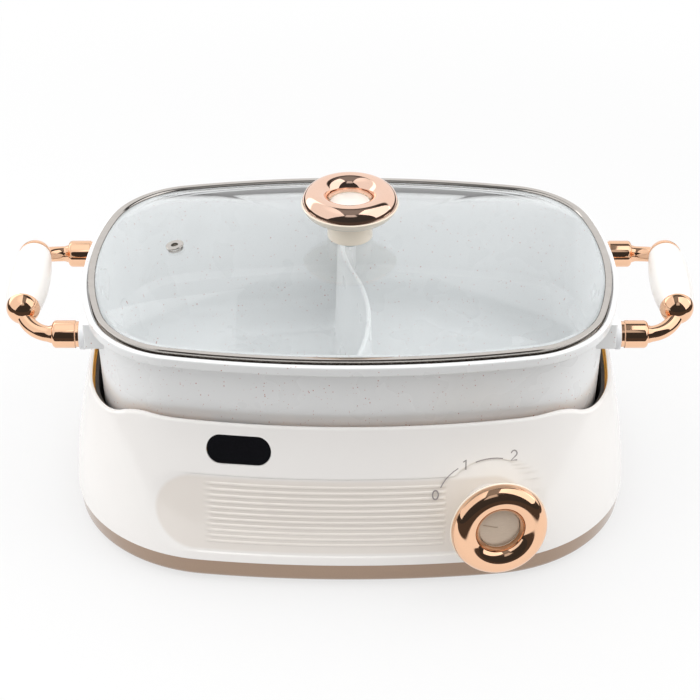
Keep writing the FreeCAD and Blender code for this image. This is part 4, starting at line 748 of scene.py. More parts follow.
# Slot: name, main and other colour, grain in mm, roughness and its spread, relief in mm, metal
FINISHES = {
    # Matt and a little dusty
    "rubber": ("moulded rubber", "#3A3836", "#2E2C2B", 1.2, 0.7, 0.08, 0.05, 0.0),
    # A cool grey shine with the faint spangle of the plating
    "steel": ("zinc-plated steel", "#B9BCC0", "#9EA2A8", 1.5, 0.32, 0.08, 0.01, 1.0),
    # Warm yellow, with soft turning haze
    "brass": ("turned brass", "#C9A766", "#B08F50", 2.0, 0.3, 0.06, 0.0, 1.0),
    # Cloudy cream plastic with a soft shine
    "lamp": ("lamp epoxy", "#E9E2C8", "#D9D0B4", 1.0, 0.3, 0.05, 0.0, 0.0),
    # Dark green lacquer over laminate
    "board": ("green circuit board", "#1F5A3A", "#184A30", 1.5, 0.35, 0.05, 0.01, 0.0),
    # Grey-brown, half moulding and half dull pressed metal
    "thermostat": ("phenolic and steel thermostat", "#8E8A84", "#767269", 2.0, 0.4, 0.08, 0.01, 0.6),
    # Smooth bright white with a soft shine
    "washer": ("white nylon washer", "#F6F7F9", "#EEF0F2", 3.0, 0.3, 0.05, 0.01, 0.0),
    # Dull dark metal, its reflections smeared by the rolling; the dark tone is partly painted shade for the
    # deep gap round the pot
    "liner": ("dark aluminised sheet with painted shade", "#4A4744", "#3B3836", 2.5, 0.38, 0.1, 0.02, 0.7),
    # Fine bright turning marks over grey casting
    "plate": ("machined cast aluminium", "#A9A9A8", "#8F8F8F", 0.8, 0.42, 0.1, 0.03, 1.0),
    # Brown-grey metal, blotched by heat
    "element": ("oxidised heater sheath", "#6D655E", "#544E49", 3.0, 0.45, 0.1, 0.02, 0.9),
    # Off-white glaze, uneven and a little waxy
    "ceramic": ("glazed steatite", "#E6DDCB", "#D8CEBB", 2.5, 0.4, 0.08, 0.02, 0.0),
    # Deep black moulding with a dull shine
    "inlet": ("black phenolic", "#1B1B1D", "#252527", 2.0, 0.4, 0.08, 0.02, 0.0),
    # Smooth brown plastic skin
    "live": ("brown insulation", "#5B3A26", "#4C301F", 3.0, 0.4, 0.05, 0.0, 0.0),
    # Smooth blue plastic skin
    "neutral": ("blue insulation", "#2D4F8E", "#24427A", 3.0, 0.4, 0.05, 0.0, 0.0),
    # Green plastic skin that runs over into yellow
    "earth": ("green and yellow insulation", "#7FA22D", "#C9B82C", 6.0, 0.4, 0.05, 0.0, 0.0),
    # Smooth red plastic skin
    "red": ("red insulation", "#A6302A", "#8E2722", 3.0, 0.4, 0.05, 0.0, 0.0),
    # A clear mirror, just blurred by the folding
    "lid_steel": ("polished stainless steel", "#D2CDC8", "#C4BEB8", 8.0, 0.09, 0.03, 0.0, 1.0),
}


def plain(slot):
    """The finish of a record's slot."""
    name, main, other, *values = FINISHES[slot]
    return finish(name, linear(main), linear(other), *values)


# ---- Casing, window and marks

def panel_depth_at(x, z):
    """How far the panel, the dial's well and the gaps between the ribs sink the casing's face."""
    deep, high = mm("panel_depth"), mm("rib_sink")
    near_x = min(max(x, PANEL_LEFT), DIAL_X)
    past = min(math.hypot(x - near_x, z - PANEL_Z) - PANEL_R,
               math.hypot(x - DIAL_X, z - DIAL_Z) - WELL_R)
    soft = PANEL_EDGE + PANEL_SOFT_END * smooth((PANEL_LEFT - x) / PANEL_SOFT_RUN)
    depth = deep * smooth(-past / soft + 0.5)
    rib_edge, rib_end = 0.5, DIAL_X - WELL_R + 3
    if depth > high and RIB_LEFT < x < rib_end:
        width, pitch = mm("rib_width"), mm("rib_pitch")
        index = round((RIB_TOP - width / 2 - z) / pitch)
        if 0 <= index < bpy.context.scene.hot_pot_sizes.rib_count:
            off = abs(RIB_TOP - width / 2 - index * pitch - z)
            rise = smooth((width / 2 - off) / rib_edge + 0.5) * smooth((x - RIB_LEFT) / RIB_FADE)
            depth = min(depth, deep - (deep - high) * rise)
    return depth


def smooth(share):
    share = min(max(share, 0.0), 1.0)
    return share * share * (3 - 2 * share)


def casing_rows():
    """Rings of the casing's closed wall: up its face, over the edge and down inside."""
    wall, edge = mm("casing_wall"), mm("casing_edge")
    width, pitch = mm("rib_width"), mm("rib_pitch")
    count, between, fine = bpy.context.scene.hot_pot_sizes.rib_count, 1.8, 0.6
    heights = {SEAM_Z, SEAM_Z + 0.4, SEAM_Z + 2.2, PANEL_HIGH, PANEL_HIGH - 2 * fine}
    for i in range(count):
        middle = RIB_TOP - width / 2 - i * pitch
        heights.update(middle + step for step in (-between, -1.0, -0.75, -0.5, 0.0, 0.5, 0.75, 1.0))
    lowest = RIB_TOP - width / 2 - (count - 1) * pitch - between
    heights.update(PANEL_LOW + fine * i for i in range(int((lowest - PANEL_LOW) / fine) + 1))
    heights.update(RIB_TOP + 0.4 + fine * i for i in range(int((PANEL_HIGH - RIB_TOP - 1.2) / fine)))
    faces_front = -0.35
    rows = []
    for z in sorted(heights):
        points = ring(casing_plan(z), CASING_STEPS)
        row = []
        for x, y, nx, ny in points:
            sunk = panel_depth_at(x, z) if y < 0 and ny < faces_front else 0.0
            row.append((x - nx * sunk, y - ny * sunk, z))
        rows.append(row)

    def upper(depth, share, rise):
        """A ring between the panel's top and the edge; rise lifts it from the edge's foot."""
        row = []
        tops = [CASING_TOP_Z] * len(rows[0])
        for _ in range(6):
            for j, top in enumerate(tops):
                spot = wall_point(j, top, depth)
                tops[j] = scoop_z(spot[0])
        for j, top in enumerate(tops):
            z = PANEL_HIGH + (top - edge - PANEL_HIGH) * share + rise
            row.append(wall_point(j, z, depth))
        return row

    cache = {}

    def wall_point(index, z, depth):
        key = (round(z, 3), depth)
        if key not in cache:
            cache[key] = ring(inset(casing_plan(z), depth), CASING_STEPS)
        x, y = cache[key][index][:2]
        return x, y, z

    rows += [upper(0.0, share, 0.0) for share in (0.2, 0.4, 0.6, 0.8, 1.0)]
    rows += [upper(edge * (1 - math.cos(a)), 1.0, edge * math.sin(a)) for a in QUARTER_TURN]
    rows += [upper(wall - edge * (1 - math.sin(a)), 1.0, edge * math.cos(a)) for a in [0.0] + QUARTER_TURN]
    rows += [upper(wall, share, 0.0) for share in (0.66, 0.33)]
    inner_levels = (PANEL_HIGH, 70, 58, 46, 34, 24, SEAM_Z)
    return rows + [level(inset(casing_plan(z), wall), z, CASING_STEPS) for z in inner_levels]


def dial_axis():
    yaw, tilt = math.radians(DIAL_YAW), math.radians(DIAL_TILT)
    return Vector((math.sin(yaw) * math.cos(tilt), -math.cos(yaw) * math.cos(tilt), math.sin(tilt)))


def dial_point(along):
    """A point on the dial's axis; 0 is the seam under its ring."""
    wall = Vector((DIAL_X, front_y(DIAL_X, DIAL_Z), DIAL_Z))
    return wall + dial_axis() * (DIAL_STANDOFF + along)


def dial_matrix():
    """Frame of the dial: Z out along its axis, X to the right as seen from the front."""
    axis = dial_axis()
    right = Vector((0, 0, 1)).cross(axis).normalized()
    up = axis.cross(right)
    matrix = Matrix((right, up, axis)).transposed().to_4x4()
    matrix.translation = dial_point(0.0)
    return matrix


def boss_spots():
    return corner_spots(*SIDE_BOSS) + corner_spots(*FRONT_BOSS)


def window_hole():
    """The window's outline as a prism through the casing's front."""
    outline = stadium(WINDOW_X, WINDOW_Z, (WINDOW_WIDTH - WINDOW_HEIGHT) / 2, WINDOW_HEIGHT / 2)
    return skin([[(x, y, z) for x, z in outline] for y in (-140.0, -60.0)])


def build_casing():
    face, thick, pad_round = -DIAL_STANDOFF - 5.5, 5.0, 4.0
    foot, height, rib_low, rib_high, rib_half = 7.0, 23.0, 20.3, 29.8, 1.2
    side_reach, front_reach = 9.2, 8.2
    dial_boss_r, thermostat_r, collar_r, nut_r, screw_depth = 16.0, 14.3, 5.0, 8.0, 21.8
    socket_x, socket_low, socket_high = 14.3, 33.2, 54.8
    bosses = []
    for x, y in boss_spots():
        bosses.append(cylinder(POST_R, (x, y, foot), (0, 0, 1), height))
        if abs(x) == SIDE_BOSS[0]:
            ends = sorted((x, x + math.copysign(side_reach, x)))
            bosses.append(block((ends[0], y - rib_half, rib_low), (ends[1], y + rib_half, rib_high)))
        else:
            ends = sorted((y, y + math.copysign(front_reach, y)))
            bosses.append(block((x - rib_half, ends[0], rib_low), (x + rib_half, ends[1], rib_high)))
    bosses.append(cylinder(dial_boss_r, dial_point(face), dial_axis(), thick))
    bosses.append(block((-PAD_X, INLET_PAD_Y - PAD_DEPTH, PAD_LOW), (PAD_X, INLET_PAD_Y, PAD_HIGH),
                        pad_round))
    shell = together(skin(casing_rows(), True), bosses, "UNION")
    holes = [window_hole(),
             block((-PAD_X, INLET_PAD_Y, PAD_LOW), (PAD_X, 135, PAD_HIGH), pad_round),
             block((-socket_x, INLET_PAD_Y - 20, socket_low), (socket_x, INLET_PAD_Y + 5, socket_high)),
             cylinder(thermostat_r, dial_point(face - 11), dial_axis(), 11.0),
             cylinder(collar_r, dial_point(face - 1), dial_axis(), 30.0),
             cylinder(nut_r, dial_point(-DIAL_STANDOFF - 1.2), dial_axis(), 20.0)]
    holes += uprights(THREAD_HOLE, boss_spots(), 0, screw_depth)
    holes += [cylinder(THREAD_HOLE, (sx * INLET_SCREW_X, INLET_PAD_Y - 20, INLET_Z), (0, 1, 0), 30, 24)
              for sx in SIDES]
    shell = together(shell, holes, "DIFFERENCE")
    piece = finished("casing_shell", shell, gloss_casing(), painted_amber_reflection(), body="base", slot="casing",
                     replaced=["outer_casing"])
    # The painted amber reflection, the second material, lies on the faces that look inwards
    for side in piece.data.polygons:
        outward = Vector((side.center.x / CASING_FOOT.half_x, side.center.y / CASING_FOOT.half_y))
        turned_in = side.normal.xy.dot(outward.normalized()) < -0.5
        side.material_index = 1 if turned_in and side.center.z > 20 * MM else 0


def build_window():
    """A dark lens a little below the casing's face, with its glued lip behind the wall."""
    half, reach = WINDOW_HEIGHT / 2 - 0.2, (WINDOW_WIDTH - WINDOW_HEIGHT) / 2
    face, wall, lip, lip_thick = 0.3, mm("casing_wall") + 0.1, 2.8, 1.3
    section = [(half * i / 6, face) for i in range(1, 6)]
    section += [(half - 0.4, face), (half - 0.12, 0.4), (half, 0.65), (half, wall), (half + lip, wall),
                (half + lip, wall + lip_thick)]
    section += [(half * i / 6, wall + lip_thick) for i in range(6, 0, -1)]
    rows = [[(x, front_y(x, z, depth), z) for x, z in stadium(WINDOW_X, WINDOW_Z, reach, radius)]
            for radius, depth in section]
    finished("window_glazing", skin(rows), smoked_lens(), body="base", slot="window",
             replaced=["window_lens"])


def stroke(points, width):
    """A printed line of this width through (x, z) points on the casing's face, closed or with its ends."""
    near, far = -mm("print_thick"), MARK_DEPTH
    closed = math.dist(points[0], points[-1]) < 1e-6
    points = points[:-1] if closed else points
    last, rows = len(points) - 1, []
    for i, (x, z) in enumerate(points):
        before = points[i - 1] if closed else points[max(i - 1, 0)]
        after = points[(i + 1) % len(points)] if closed else points[min(i + 1, last)]
        along = Vector((after[0] - before[0], after[1] - before[1])).normalized()
        across = Vector((-along.y, along.x)) * width / 2
        left, right = (x + across.x, z + across.y), (x - across.x, z - across.y)
        rows.append([(u, front_y(u, v, depth), v)
                     for (u, v), depth in ((left, near), (right, near), (right, far), (left, far))])
    return skin(rows, closed)


def arc_points(centre, radii, low, high, count=24):
    points = []
    for i in range(count + 1):
        angle = math.radians(low + (high - low) * i / count)
        points.append((centre[0] + radii[0] * math.cos(angle), centre[1] + radii[1] * math.sin(angle)))
    return points


def build_marks():
    """The dial's plain heat marks: 0, 1 and 2 with two arcs between them."""
    figure, arc = 0.75, 0.55
    zero, one, two = (50.5, 62.0), (68.1, 78.8), (97.0, 82.0)
    lines = [arc_points(zero, (1.7, 2.7), 90, 450),
             [(one[0] - 1.3, one[1] + 1.6), (one[0] + 0.3, one[1] + 2.8), (one[0] + 0.3, one[1] - 2.8)],
             arc_points((two[0], two[1] + 1.1), (1.7, 1.7), 170, -35, 16)
             + [(two[0] - 1.75, two[1] - 2.7), (two[0] + 1.9, two[1] - 2.7)],
             [(53.5, 66.2), (54.9, 68.7), (56.6, 71.1), (58.6, 73.2), (61.0, 75.2), (63.9, 77.0)],
             [(74.2, 79.9), (77.2, 80.7), (80.4, 81.2), (83.6, 81.4), (87.0, 81.3), (90.4, 80.8)]]
    widths = [figure] * 3 + [arc] * 2
    prints = [stroke(line, width) for line, width in zip(lines, widths)]
    finished("dial_marks", joined(prints), mark_ink(), body="base", slot="casing")


# ---- Tray, feet and screws

def build_tray():
    bottom, floor, lip = FOOT_HEIGHT, FOOT_HEIGHT + TRAY_FLOOR, 20.0
    section = rounded([(CORE, bottom), (2.0, bottom, 5.0), (0.5, SEAM_Z - 0.4), (0.9, SEAM_Z),
                       (3.4, SEAM_Z), (3.4, lip), (5.0, lip), (5.0, floor, 1.0), (CORE, floor)], 8)
    tray = round_the(CASING_FOOT, section, TRAY_STEPS)
    posts = uprights(POST_R, TRAY_POSTS, floor - 1, LINER_FLOOR_Z - floor + 1, 48)
    posts += uprights(POST_R, boss_spots(), bottom + 1, 3.5, 48)
    tray = together(tray, posts, "UNION")
    holes = uprights(THREAD_HOLE, TRAY_POSTS, LINER_FLOOR_Z - 13, 14)
    holes += uprights(HEAD_HOLE, boss_spots(), 0, bottom + 2.0, 32)
    holes += uprights(CLEAR_HOLE, boss_spots(), 0, 8.0)
    holes += uprights(STUD_HOLE, corner_spots(FOOT_X, FOOT_Y), 0, 6)
    tray = together(tray, holes, "DIFFERENCE")
    finished("tray_shell", tray, pearl_tray(), body="base", slot="tray", replaced=["base_tray"])


def build_feet():
    radius = mm("foot_radius")
    foot = lathe(rounded([(0, 0), (radius - 3.5, 0), (radius - 3.9, 0.35), (radius - 1, 0.0, 0.5),
                          (radius, FOOT_HEIGHT), (2.5, FOOT_HEIGHT), (2.5, 6.3), (2.0, 6.5), (0, 6.5)]), 48)
    rubber = plain("rubber")
    feet = set_out(foot, [(x, y, 0) for x, y in corner_spots(FOOT_X, FOOT_Y)], rubber)
    finished("feet", feet, rubber, body="base", slot="rubber", replaced=["rubber_feet"])


def screw(length):
    """A pan-head screw with a cross recess, head down at the origin, shank along +Z."""
    recess, arm, half = 1.1, 1.7, 0.33
    body = lathe(rounded([(0, 0), (SCREW_HEAD_R, 0, 0.7), (SCREW_HEAD_R, SCREW_HEAD), (SCREW_R, SCREW_HEAD),
                          (SCREW_R, length - 1), (0.5, length), (0, length)]), 32)
    cross = [block((-arm, -half, -1), (arm, half, recess)), block((-half, -arm, -1), (half, arm, recess))]
    return together(body, cross, "DIFFERENCE")


def build_screws():
    steel = plain("steel")
    up, down, inward = (0, 0, 0), (math.pi, 0, 0), (math.pi / 2, 0, 0)
    sets = (("tray_screws", "casing_screws", screw(16.0), [(x, y, 2.8) for x, y in boss_spots()], up),
            ("bowl_screws", "liner_screws", screw(13.7), [(x, y, 35.7) for x, y in TRAY_POSTS], down),
            ("socket_screws", "inlet_screws", screw(10.0),
             [(sx * INLET_SCREW_X, INLET_PAD_Y + 4.2, INLET_Z) for sx in SIDES], inward))
    for name, node, mesh, spots, turn in sets:
        copies = set_out(mesh, spots, steel, [turn] * len(spots))
        finished(name, copies, steel, body="base", slot="steel", replaced=[node])


# ---- Knobs

def knob_pieces(matrix, foot_section, stem):
    """Meshes of a knob's base, ring and disc."""
    radius, tube = mm("knob_radius"), mm("knob_tube")
    inner, foot = radius - 2 * tube, -KNOB_CUP - stem
    base = rounded([(0, -2.2), (inner, -2.2), (inner, 0), (KNOB_CUP_R, 0, 0.6),
                    (KNOB_CUP_R - 3.5, -KNOB_CUP, 5.0), (KNOB_STEM_R, -KNOB_CUP, 1.0),
                    (KNOB_STEM_R, foot, 0.5)] + foot_section, 8)
    high, round_r = KNOB_RING_HEIGHT, min(tube - 0.3, KNOB_RING_HEIGHT - 0.2)
    arch = rounded([(radius, 0.1), (radius, high, round_r), (inner, high, round_r), (inner, 0.1)], 28)
    ring_section = [(inner, 0), (radius - 0.1, 0)] + arch + [(inner, 0)]
    disc = rounded([(0, -2.2), (inner - 0.3, -2.2), (inner - 0.3, -0.2, 0.5), (inner * 0.45, -0.32),
                    (0, -0.36)])
    return (moved(lathe(base, 128), matrix), moved(lathe(ring_section, 160), matrix),
            moved(lathe(disc, 96), matrix))


def build_dial():
    stem = DIAL_STANDOFF - KNOB_CUP - 2.6
    foot, nut_r, shaft_r = -KNOB_CUP - stem, 8.0, 3.05
    hollow = [(nut_r, foot), (nut_r, foot + 3), (shaft_r, foot + 3), (shaft_r, -4.5), (0, -4.5)]
    base, hoop_mesh, disc = knob_pieces(dial_matrix(), hollow, stem)
    reach = mm("knob_radius") - 2 * mm("knob_tube") - 2.5
    pointer, half = 9.0, 0.45
    groove = block((reach - pointer, -half, -0.75), (reach, half, 1.0))
    groove = moved(groove, dial_matrix() @ Matrix.Rotation(math.radians(DIAL_OFF), 4, "Z"))
    disc = together(disc, [groove], "DIFFERENCE")
    finished("dial_cup", base, cream_plastic(), body="control_dial", slot="cream", replaced=["dial_base"])
    finished("dial_hoop", hoop_mesh, rose_plating(), body="control_dial", slot="rose_metal",
             replaced=["dial_ring"])
    finished("dial_face", disc, shaded_pearl_disc(), body="control_dial", slot="disc", replaced=["dial_disc"])


def glass_levels():
    """Underside and top of the glass where the steel band clasps it."""
    low = POT_RIM_Z - SEAT_DEPTH + LID_RIM_SHEET + 0.1
    return low, low + mm("glass_thick")


def build_knob():
    stem = KNOB_HEIGHT - KNOB_CUP
    foot = -KNOB_HEIGHT
    hollow = [(STUD_HOLE, foot), (STUD_HOLE, foot + 17), (0, foot + 17)]
    seam = glass_levels()[1] + mm("glass_rise") + KNOB_HEIGHT
    base, hoop_mesh, disc = knob_pieces(Matrix.Translation((0, 0, seam)), hollow, stem)
    finished("knob_cup", base, cream_plastic(), body="lid", slot="cream", replaced=["knob_base"])
    finished("knob_hoop", hoop_mesh, lit_rose_plating(), body="lid", slot="rose_metal",
             replaced=["knob_ring"])
    finished("knob_face", disc, lit_pearl_disc(), body="lid", slot="disc", replaced=["knob_disc"])


# ---- Liner and pot

def build_liner():
    top, low = LINER_TOP_Z, LINER_FLOOR_Z
    stud_r, studs, wires, sensor_r = 2.3, (118, 45), (14, 50), 4.3
    section = rounded([(CORE, low), (8.0, low, 6.0), (0.0, top - 1.0), (-1.2, top - 1.0), (-1.2, top),
                       (1.0, top), (9.0, low + 1, 5.0), (CORE, low + 1)], 8)
    bowl = round_the(LINER_PLAN, section)
    holes = uprights(CLEAR_HOLE, TRAY_POSTS, low - 1, 3)
    holes += uprights(stud_r, corner_spots(*studs), low - 1, 3)
    holes += uprights(WIRE_HOLE, [(sx * wires[0], wires[1]) for sx in SIDES], low - 1, 3, 32)
    holes += uprights(sensor_r, [(0, 0)], low - 1, 3, 32)
    bowl = together(bowl, holes, "DIFFERENCE")
    finished("liner_bowl", bowl, plain("liner"), body="base", slot="liner", replaced=["heat_liner"])


def divider_mesh():
    """The S-shaped wall between the wells, thinner upwards, with a cast fillet at its foot."""
    reach, swing, middle_x, top_z = POT_WALL_PLAN.half_y, 8.6, 2.5, 143.5
    radius = reach ** 2 / (8 * swing) + swing / 2
    lean = math.asin(reach / 2 / radius)
    foot, top, low, round_r = mm("divider_foot"), mm("divider_top"), POT_BASE_Z + 2, 1.12
    floor, fillet = POT_BASE_Z + 4, 3.0

    def half(z):
        grow = 0.0
        if z < floor + fillet:
            grow = fillet - math.sqrt(max(fillet ** 2 - (floor + fillet - max(z, floor)) ** 2, 0.0))
        return foot + (top - foot) * (z - low) / (top_z - low) + grow

    levels = [low] + [floor + fillet * i / 6 for i in range(7)] + [80, 100, 120, top_z - round_r]
    side = [(half(z), z) for z in levels]
    crown = [(top - round_r * (1 - math.cos(a)), top_z - round_r * (1 - math.sin(a))) for a in QUARTER_TURN]
    outline = side + crown
    outline += [(-u, z) for u, z in reversed(outline)]
    rows, count = [], 32
    for sign in (1, -1):
        centre = (middle_x + sign * (swing - radius), -sign * reach / 2)
        for i in range(count + (1 if sign == -1 else 0)):
            angle = lean * (2 * i / count - 1)
            rows.append([(centre[0] + sign * math.cos(angle) * (radius + sign * off),
                          centre[1] + math.sin(angle) * (radius + sign * off), z) for off, z in outline])
    return skin(rows)


def lug_mesh(sx, sy):
    """A cast lug under the rim, its lower and outer edges rounded."""
    inner_x, half, low, high, r = POT_WALL_PLAN.half_x - 15, 10.0, 125.0, 143.2, 3.0
    rows = []
    for x, shrink in ((inner_x, 0.0), (LUG_END_X - 1.0, 0.0), (LUG_END_X - 0.5, 0.14),
                      (LUG_END_X - 0.14, 0.5), (LUG_END_X, 1.0)):
        corners = [(HANDLE_Y - half + shrink, high), (HANDLE_Y - half + shrink, low + shrink, r - shrink),
                   (HANDLE_Y + half - shrink, low + shrink, r - shrink), (HANDLE_Y + half - shrink, high)]
        rows.append([(sx * x, sy * y, z) for y, z in rounded(corners)])
    return skin(rows)


def build_pot():
    base, rim, under = POT_BASE_Z, POT_RIM_Z, POT_RIM_Z - RIM_HEIGHT
    seat = rim - SEAT_DEPTH
    lean = POT_DRAFT * (under - POT_STEP_Z) / (under - base)
    ledge, nudge = POT_WALL + lean + POT_STEP, 0.02
    flare, floor = -1.1 * RIM_FILLET, base + 4
    plate = rounded([(CORE, under), (0, under, 1.6), (0, rim, 1.2), (CORE, rim)], 8)
    wall = rounded([(CORE, base), (POT_DRAFT, base, 12.0), (0, under + nudge, RIM_FILLET),
                    (flare, under + nudge), (flare, under + 1), (CORE, under + 1)], 8)
    rebate = [(CORE, seat), (RIM_LIP, seat), (RIM_LIP, rim - 0.4), (RIM_LIP - 0.4, rim),
              (RIM_LIP - 2, rim + 5), (CORE, rim + 5)]
    edge = POT_WALL - 1.5 * SEAT_ROUND
    wells = rounded([(CORE, floor), (ledge + POT_FOOT_DRAFT, floor, 9.4), (ledge, POT_STEP_Z - 3, 2.0),
                     (ledge - POT_STEP, POT_STEP_Z + 1, 2.5), (POT_WALL, seat + nudge, SEAT_ROUND),
                     (edge, seat + nudge), (edge, rim + 6), (CORE, rim + 6)], 8)
    pot = together(round_the(POT_PLAN, plate, POT_STEPS), [round_the(POT_WALL_PLAN, wall, POT_STEPS)]
                   + [lug_mesh(sx, sy) for sx in SIDES for sy in SIDES], "UNION")
    cavity = together(round_the(POT_PLAN, rebate, POT_STEPS), [round_the(POT_WALL_PLAN, wells, POT_STEPS)],
                      "UNION")
    cavity = together(cavity, [divider_mesh()], "DIFFERENCE")
    holes = [cylinder(STUD_HOLE, (math.copysign(LUG_END_X - 10, x), y, HANDLE_Z), (x, 0, 0), 11, 24)
             for x, y in corner_spots(1, HANDLE_Y)]
    pot = together(pot, [cavity] + holes, "DIFFERENCE")
    finished("cast_pot", pot, speckled_coating(), body="pot", slot="pot", replaced=["inner_pot"],
             sharp=40.0)


# ---- Handles

def ball_centre():
    lean = math.radians(NECK_LEAN)
    return Vector((LUG_END_X + WASHER_THICK + FERRULE_LENGTH + NECK_BEND,
                   HANDLE_Y - NECK_BEND * math.cos(lean), HANDLE_Z + NECK_BEND * math.sin(lean)))


def elbow_mesh(sx, sy):
    """One casting: stepped ferrule, bent neck and the ball that caps the grip."""
    start = Vector((LUG_END_X + WASHER_THICK, HANDLE_Y, HANDLE_Z))
    r, step = FERRULE_R, 0.6
    ferrule = lathe(rounded([(0, 0), (r - step, 0, 0.4), (r - step, 2.0), (r, 2.6, 0.4),
                             (r, FERRULE_LENGTH, 2.6), (NECK_R, FERRULE_LENGTH), (0, FERRULE_LENGTH)], 8), 72)
    ferrule = moved(ferrule, turned_to(start, (1, 0, 0)))
    lean = math.radians(NECK_LEAN)
    inward = Vector((0, -math.cos(lean), math.sin(lean)))
    out, neck = Vector((1, 0, 0)), start + Vector((FERRULE_LENGTH, 0, 0))
    across = out.cross(inward)
    swell_r, swell_run, bends, segments = 0.9, 1.6, 24, 48
    rows = []
    for i in range(-1, bends + 1):
        a = math.pi / 2 * max(i, 0) / bends
        centre = neck + out * (NECK_BEND * math.sin(a)) + inward * (NECK_BEND * (1 - math.cos(a)))
        if i < 0:
            centre = neck - out * 2
        normal = inward * math.cos(a) - out * math.sin(a)
        radius = NECK_R + swell_r * math.exp(-(NECK_BEND * a / swell_run) ** 2)
        rows.append([tuple(centre + (normal * math.cos(t) + across * math.sin(t)) * radius)
                     for t in (2 * math.pi * k / segments for k in range(segments))])
    ball = ball_centre()
    sphere = [(BALL_R * math.sin(a), -BALL_R * math.cos(a)) for a in (math.pi * i / 48 for i in range(49))]
    cap = moved(lathe(sphere, 72), turned_to(ball, (0, -1, 0)))
    elbow = together(ferrule, [skin(rows), cap], "UNION")
    reach = 3 * BALL_R
    beyond = block((ball.x - reach, GRIP_HALF - reach, ball.z - reach),
                   (ball.x + reach, GRIP_HALF, ball.z + reach))
    bores = [cylinder(STUD_HOLE, start - out, out, 11.5, 24),
             cylinder(STUD_HOLE, (ball.x, GRIP_HALF - 1, ball.z), (0, 1, 0), 8.5, 24)]
    elbow = together(elbow, [beyond] + bores, "DIFFERENCE")
    return moved(elbow, Matrix.Diagonal((sx, sy, 1, 1)))


def grip_mesh(sx):
    """A barrel with eased ends and a bore for its rod."""
    middle, end, bore, ease = mm("grip_radius"), GRIP_END_R, 2.8, 1.0
    bulge = ((middle - end) ** 2 + GRIP_HALF ** 2) / (2 * (middle - end))
    eased = QUARTER_TURN[:-1]
    section = [(bore, -GRIP_HALF), (end - ease, -GRIP_HALF)]
    section += [(end - ease * (1 - math.sin(a)), -GRIP_HALF + ease * (1 - math.cos(a))) for a in eased]
    for i in range(41):
        z = (GRIP_HALF - ease) * (i / 20 - 1)
        section.append((middle - bulge + math.sqrt(bulge ** 2 - z ** 2), z))
    section += [(end - ease * (1 - math.cos(a)), GRIP_HALF - ease * (1 - math.sin(a))) for a in eased]
    section += [(end - ease, GRIP_HALF), (bore, GRIP_HALF), (bore, -GRIP_HALF)]
    ball = ball_centre()
    return moved(lathe(section, 96), turned_to((sx * ball.x, 0, ball.z), (0, 1, 0)))


def build_handles():
    metal, satin, white = rose_plating(), barrel_plastic(), plain("washer")
    for sx, side in zip(SIDES, ("left", "right")):
        for sy, end in zip(SIDES, ("front", "rear")):
            finished(f"handle_casting_{side}_{end}", elbow_mesh(sx, sy), metal, body="pot",
                     slot="rose_metal", replaced=[f"elbow_{side}_{end}"])
        finished(f"handle_barrel_{side}", grip_mesh(sx), satin, body="pot", slot="cream",
                 replaced=[f"grip_{side}"])
    bore = 2.8
    washer = lathe(rounded([(bore, 0), (WASHER_R, 0, 0.5), (WASHER_R, WASHER_THICK, 0.5),
                            (bore, WASHER_THICK), (bore, 0)]), 72)
    spots = [(x, y, HANDLE_Z) for x, y in corner_spots(LUG_END_X, HANDLE_Y)]
    turns = [(0, sx * math.pi / 2, 0) for sx in SIDES for _ in SIDES]
    finished("handle_collars", set_out(washer, spots, white, turns), white, body="pot", slot="washer",
             replaced=["handle_washers"])


# ---- Lid

def lid_plan():
    return inset(POT_PLAN, RIM_LIP + 0.3)


def dome_rows(base_inset, base_z):
    """Rings of a dome over an inset of the lid's outline, from its middle to its foot."""
    count = 36
    base, rise, flat = inset(lid_plan(), base_inset), mm("glass_rise"), 1 - DOME_FLAT ** DOME_POWER
    rows = []
    for i in range(count + 1):
        share = DOME_FLAT + (1 - DOME_FLAT) * (i / count) ** 0.9
        rows.append(level(scaled(base, share), base_z + rise * (1 - share ** DOME_POWER) / flat, POT_STEPS))
    return rows


def vent_place():
    """Where the vent passes through the glass, and its outward direction."""
    rise, reach = mm("glass_rise"), lid_plan().half_x - LID_RIM_WIDTH - 0.6
    share, flat = abs(VENT_X) / reach, 1 - DOME_FLAT ** DOME_POWER
    z = glass_levels()[1] + rise * (1 - share ** DOME_POWER) / flat
    slope = rise * DOME_POWER * share ** (DOME_POWER - 1) / flat / reach
    return Vector((VENT_X, VENT_Y, z)), Vector((-slope, 0, 1)).normalized()


def build_glass():
    low, high = glass_levels()
    thick, edge, flat, eased = mm("glass_thick"), LID_RIM_SHEET + 1.0, LID_RIM_WIDTH + 0.6, 0.4
    rows = dome_rows(flat, high)
    for depth, z in ((edge + eased, high), (edge, high - eased), (edge, low + eased), (edge + eased, low)):
        rows.append(level(inset(lid_plan(), depth), z, POT_STEPS))
    rows += reversed(dome_rows(flat + thick, low))
    spot, axis = vent_place()
    screw_hole = 2.8
    holes = [cylinder(screw_hole, (0, 0, low), (0, 0, 1), mm("glass_rise") + 2 * thick, 32),
             cylinder(VENT_R, spot - axis * 3 * thick, axis, 5 * thick, 48)]
    glass = together(skin(rows), holes, "DIFFERENCE")
    finished("lid_dome", glass, lid_glass_finish(), body="lid", slot="glass", replaced=["lid_glass"],
             sharp=50.0)


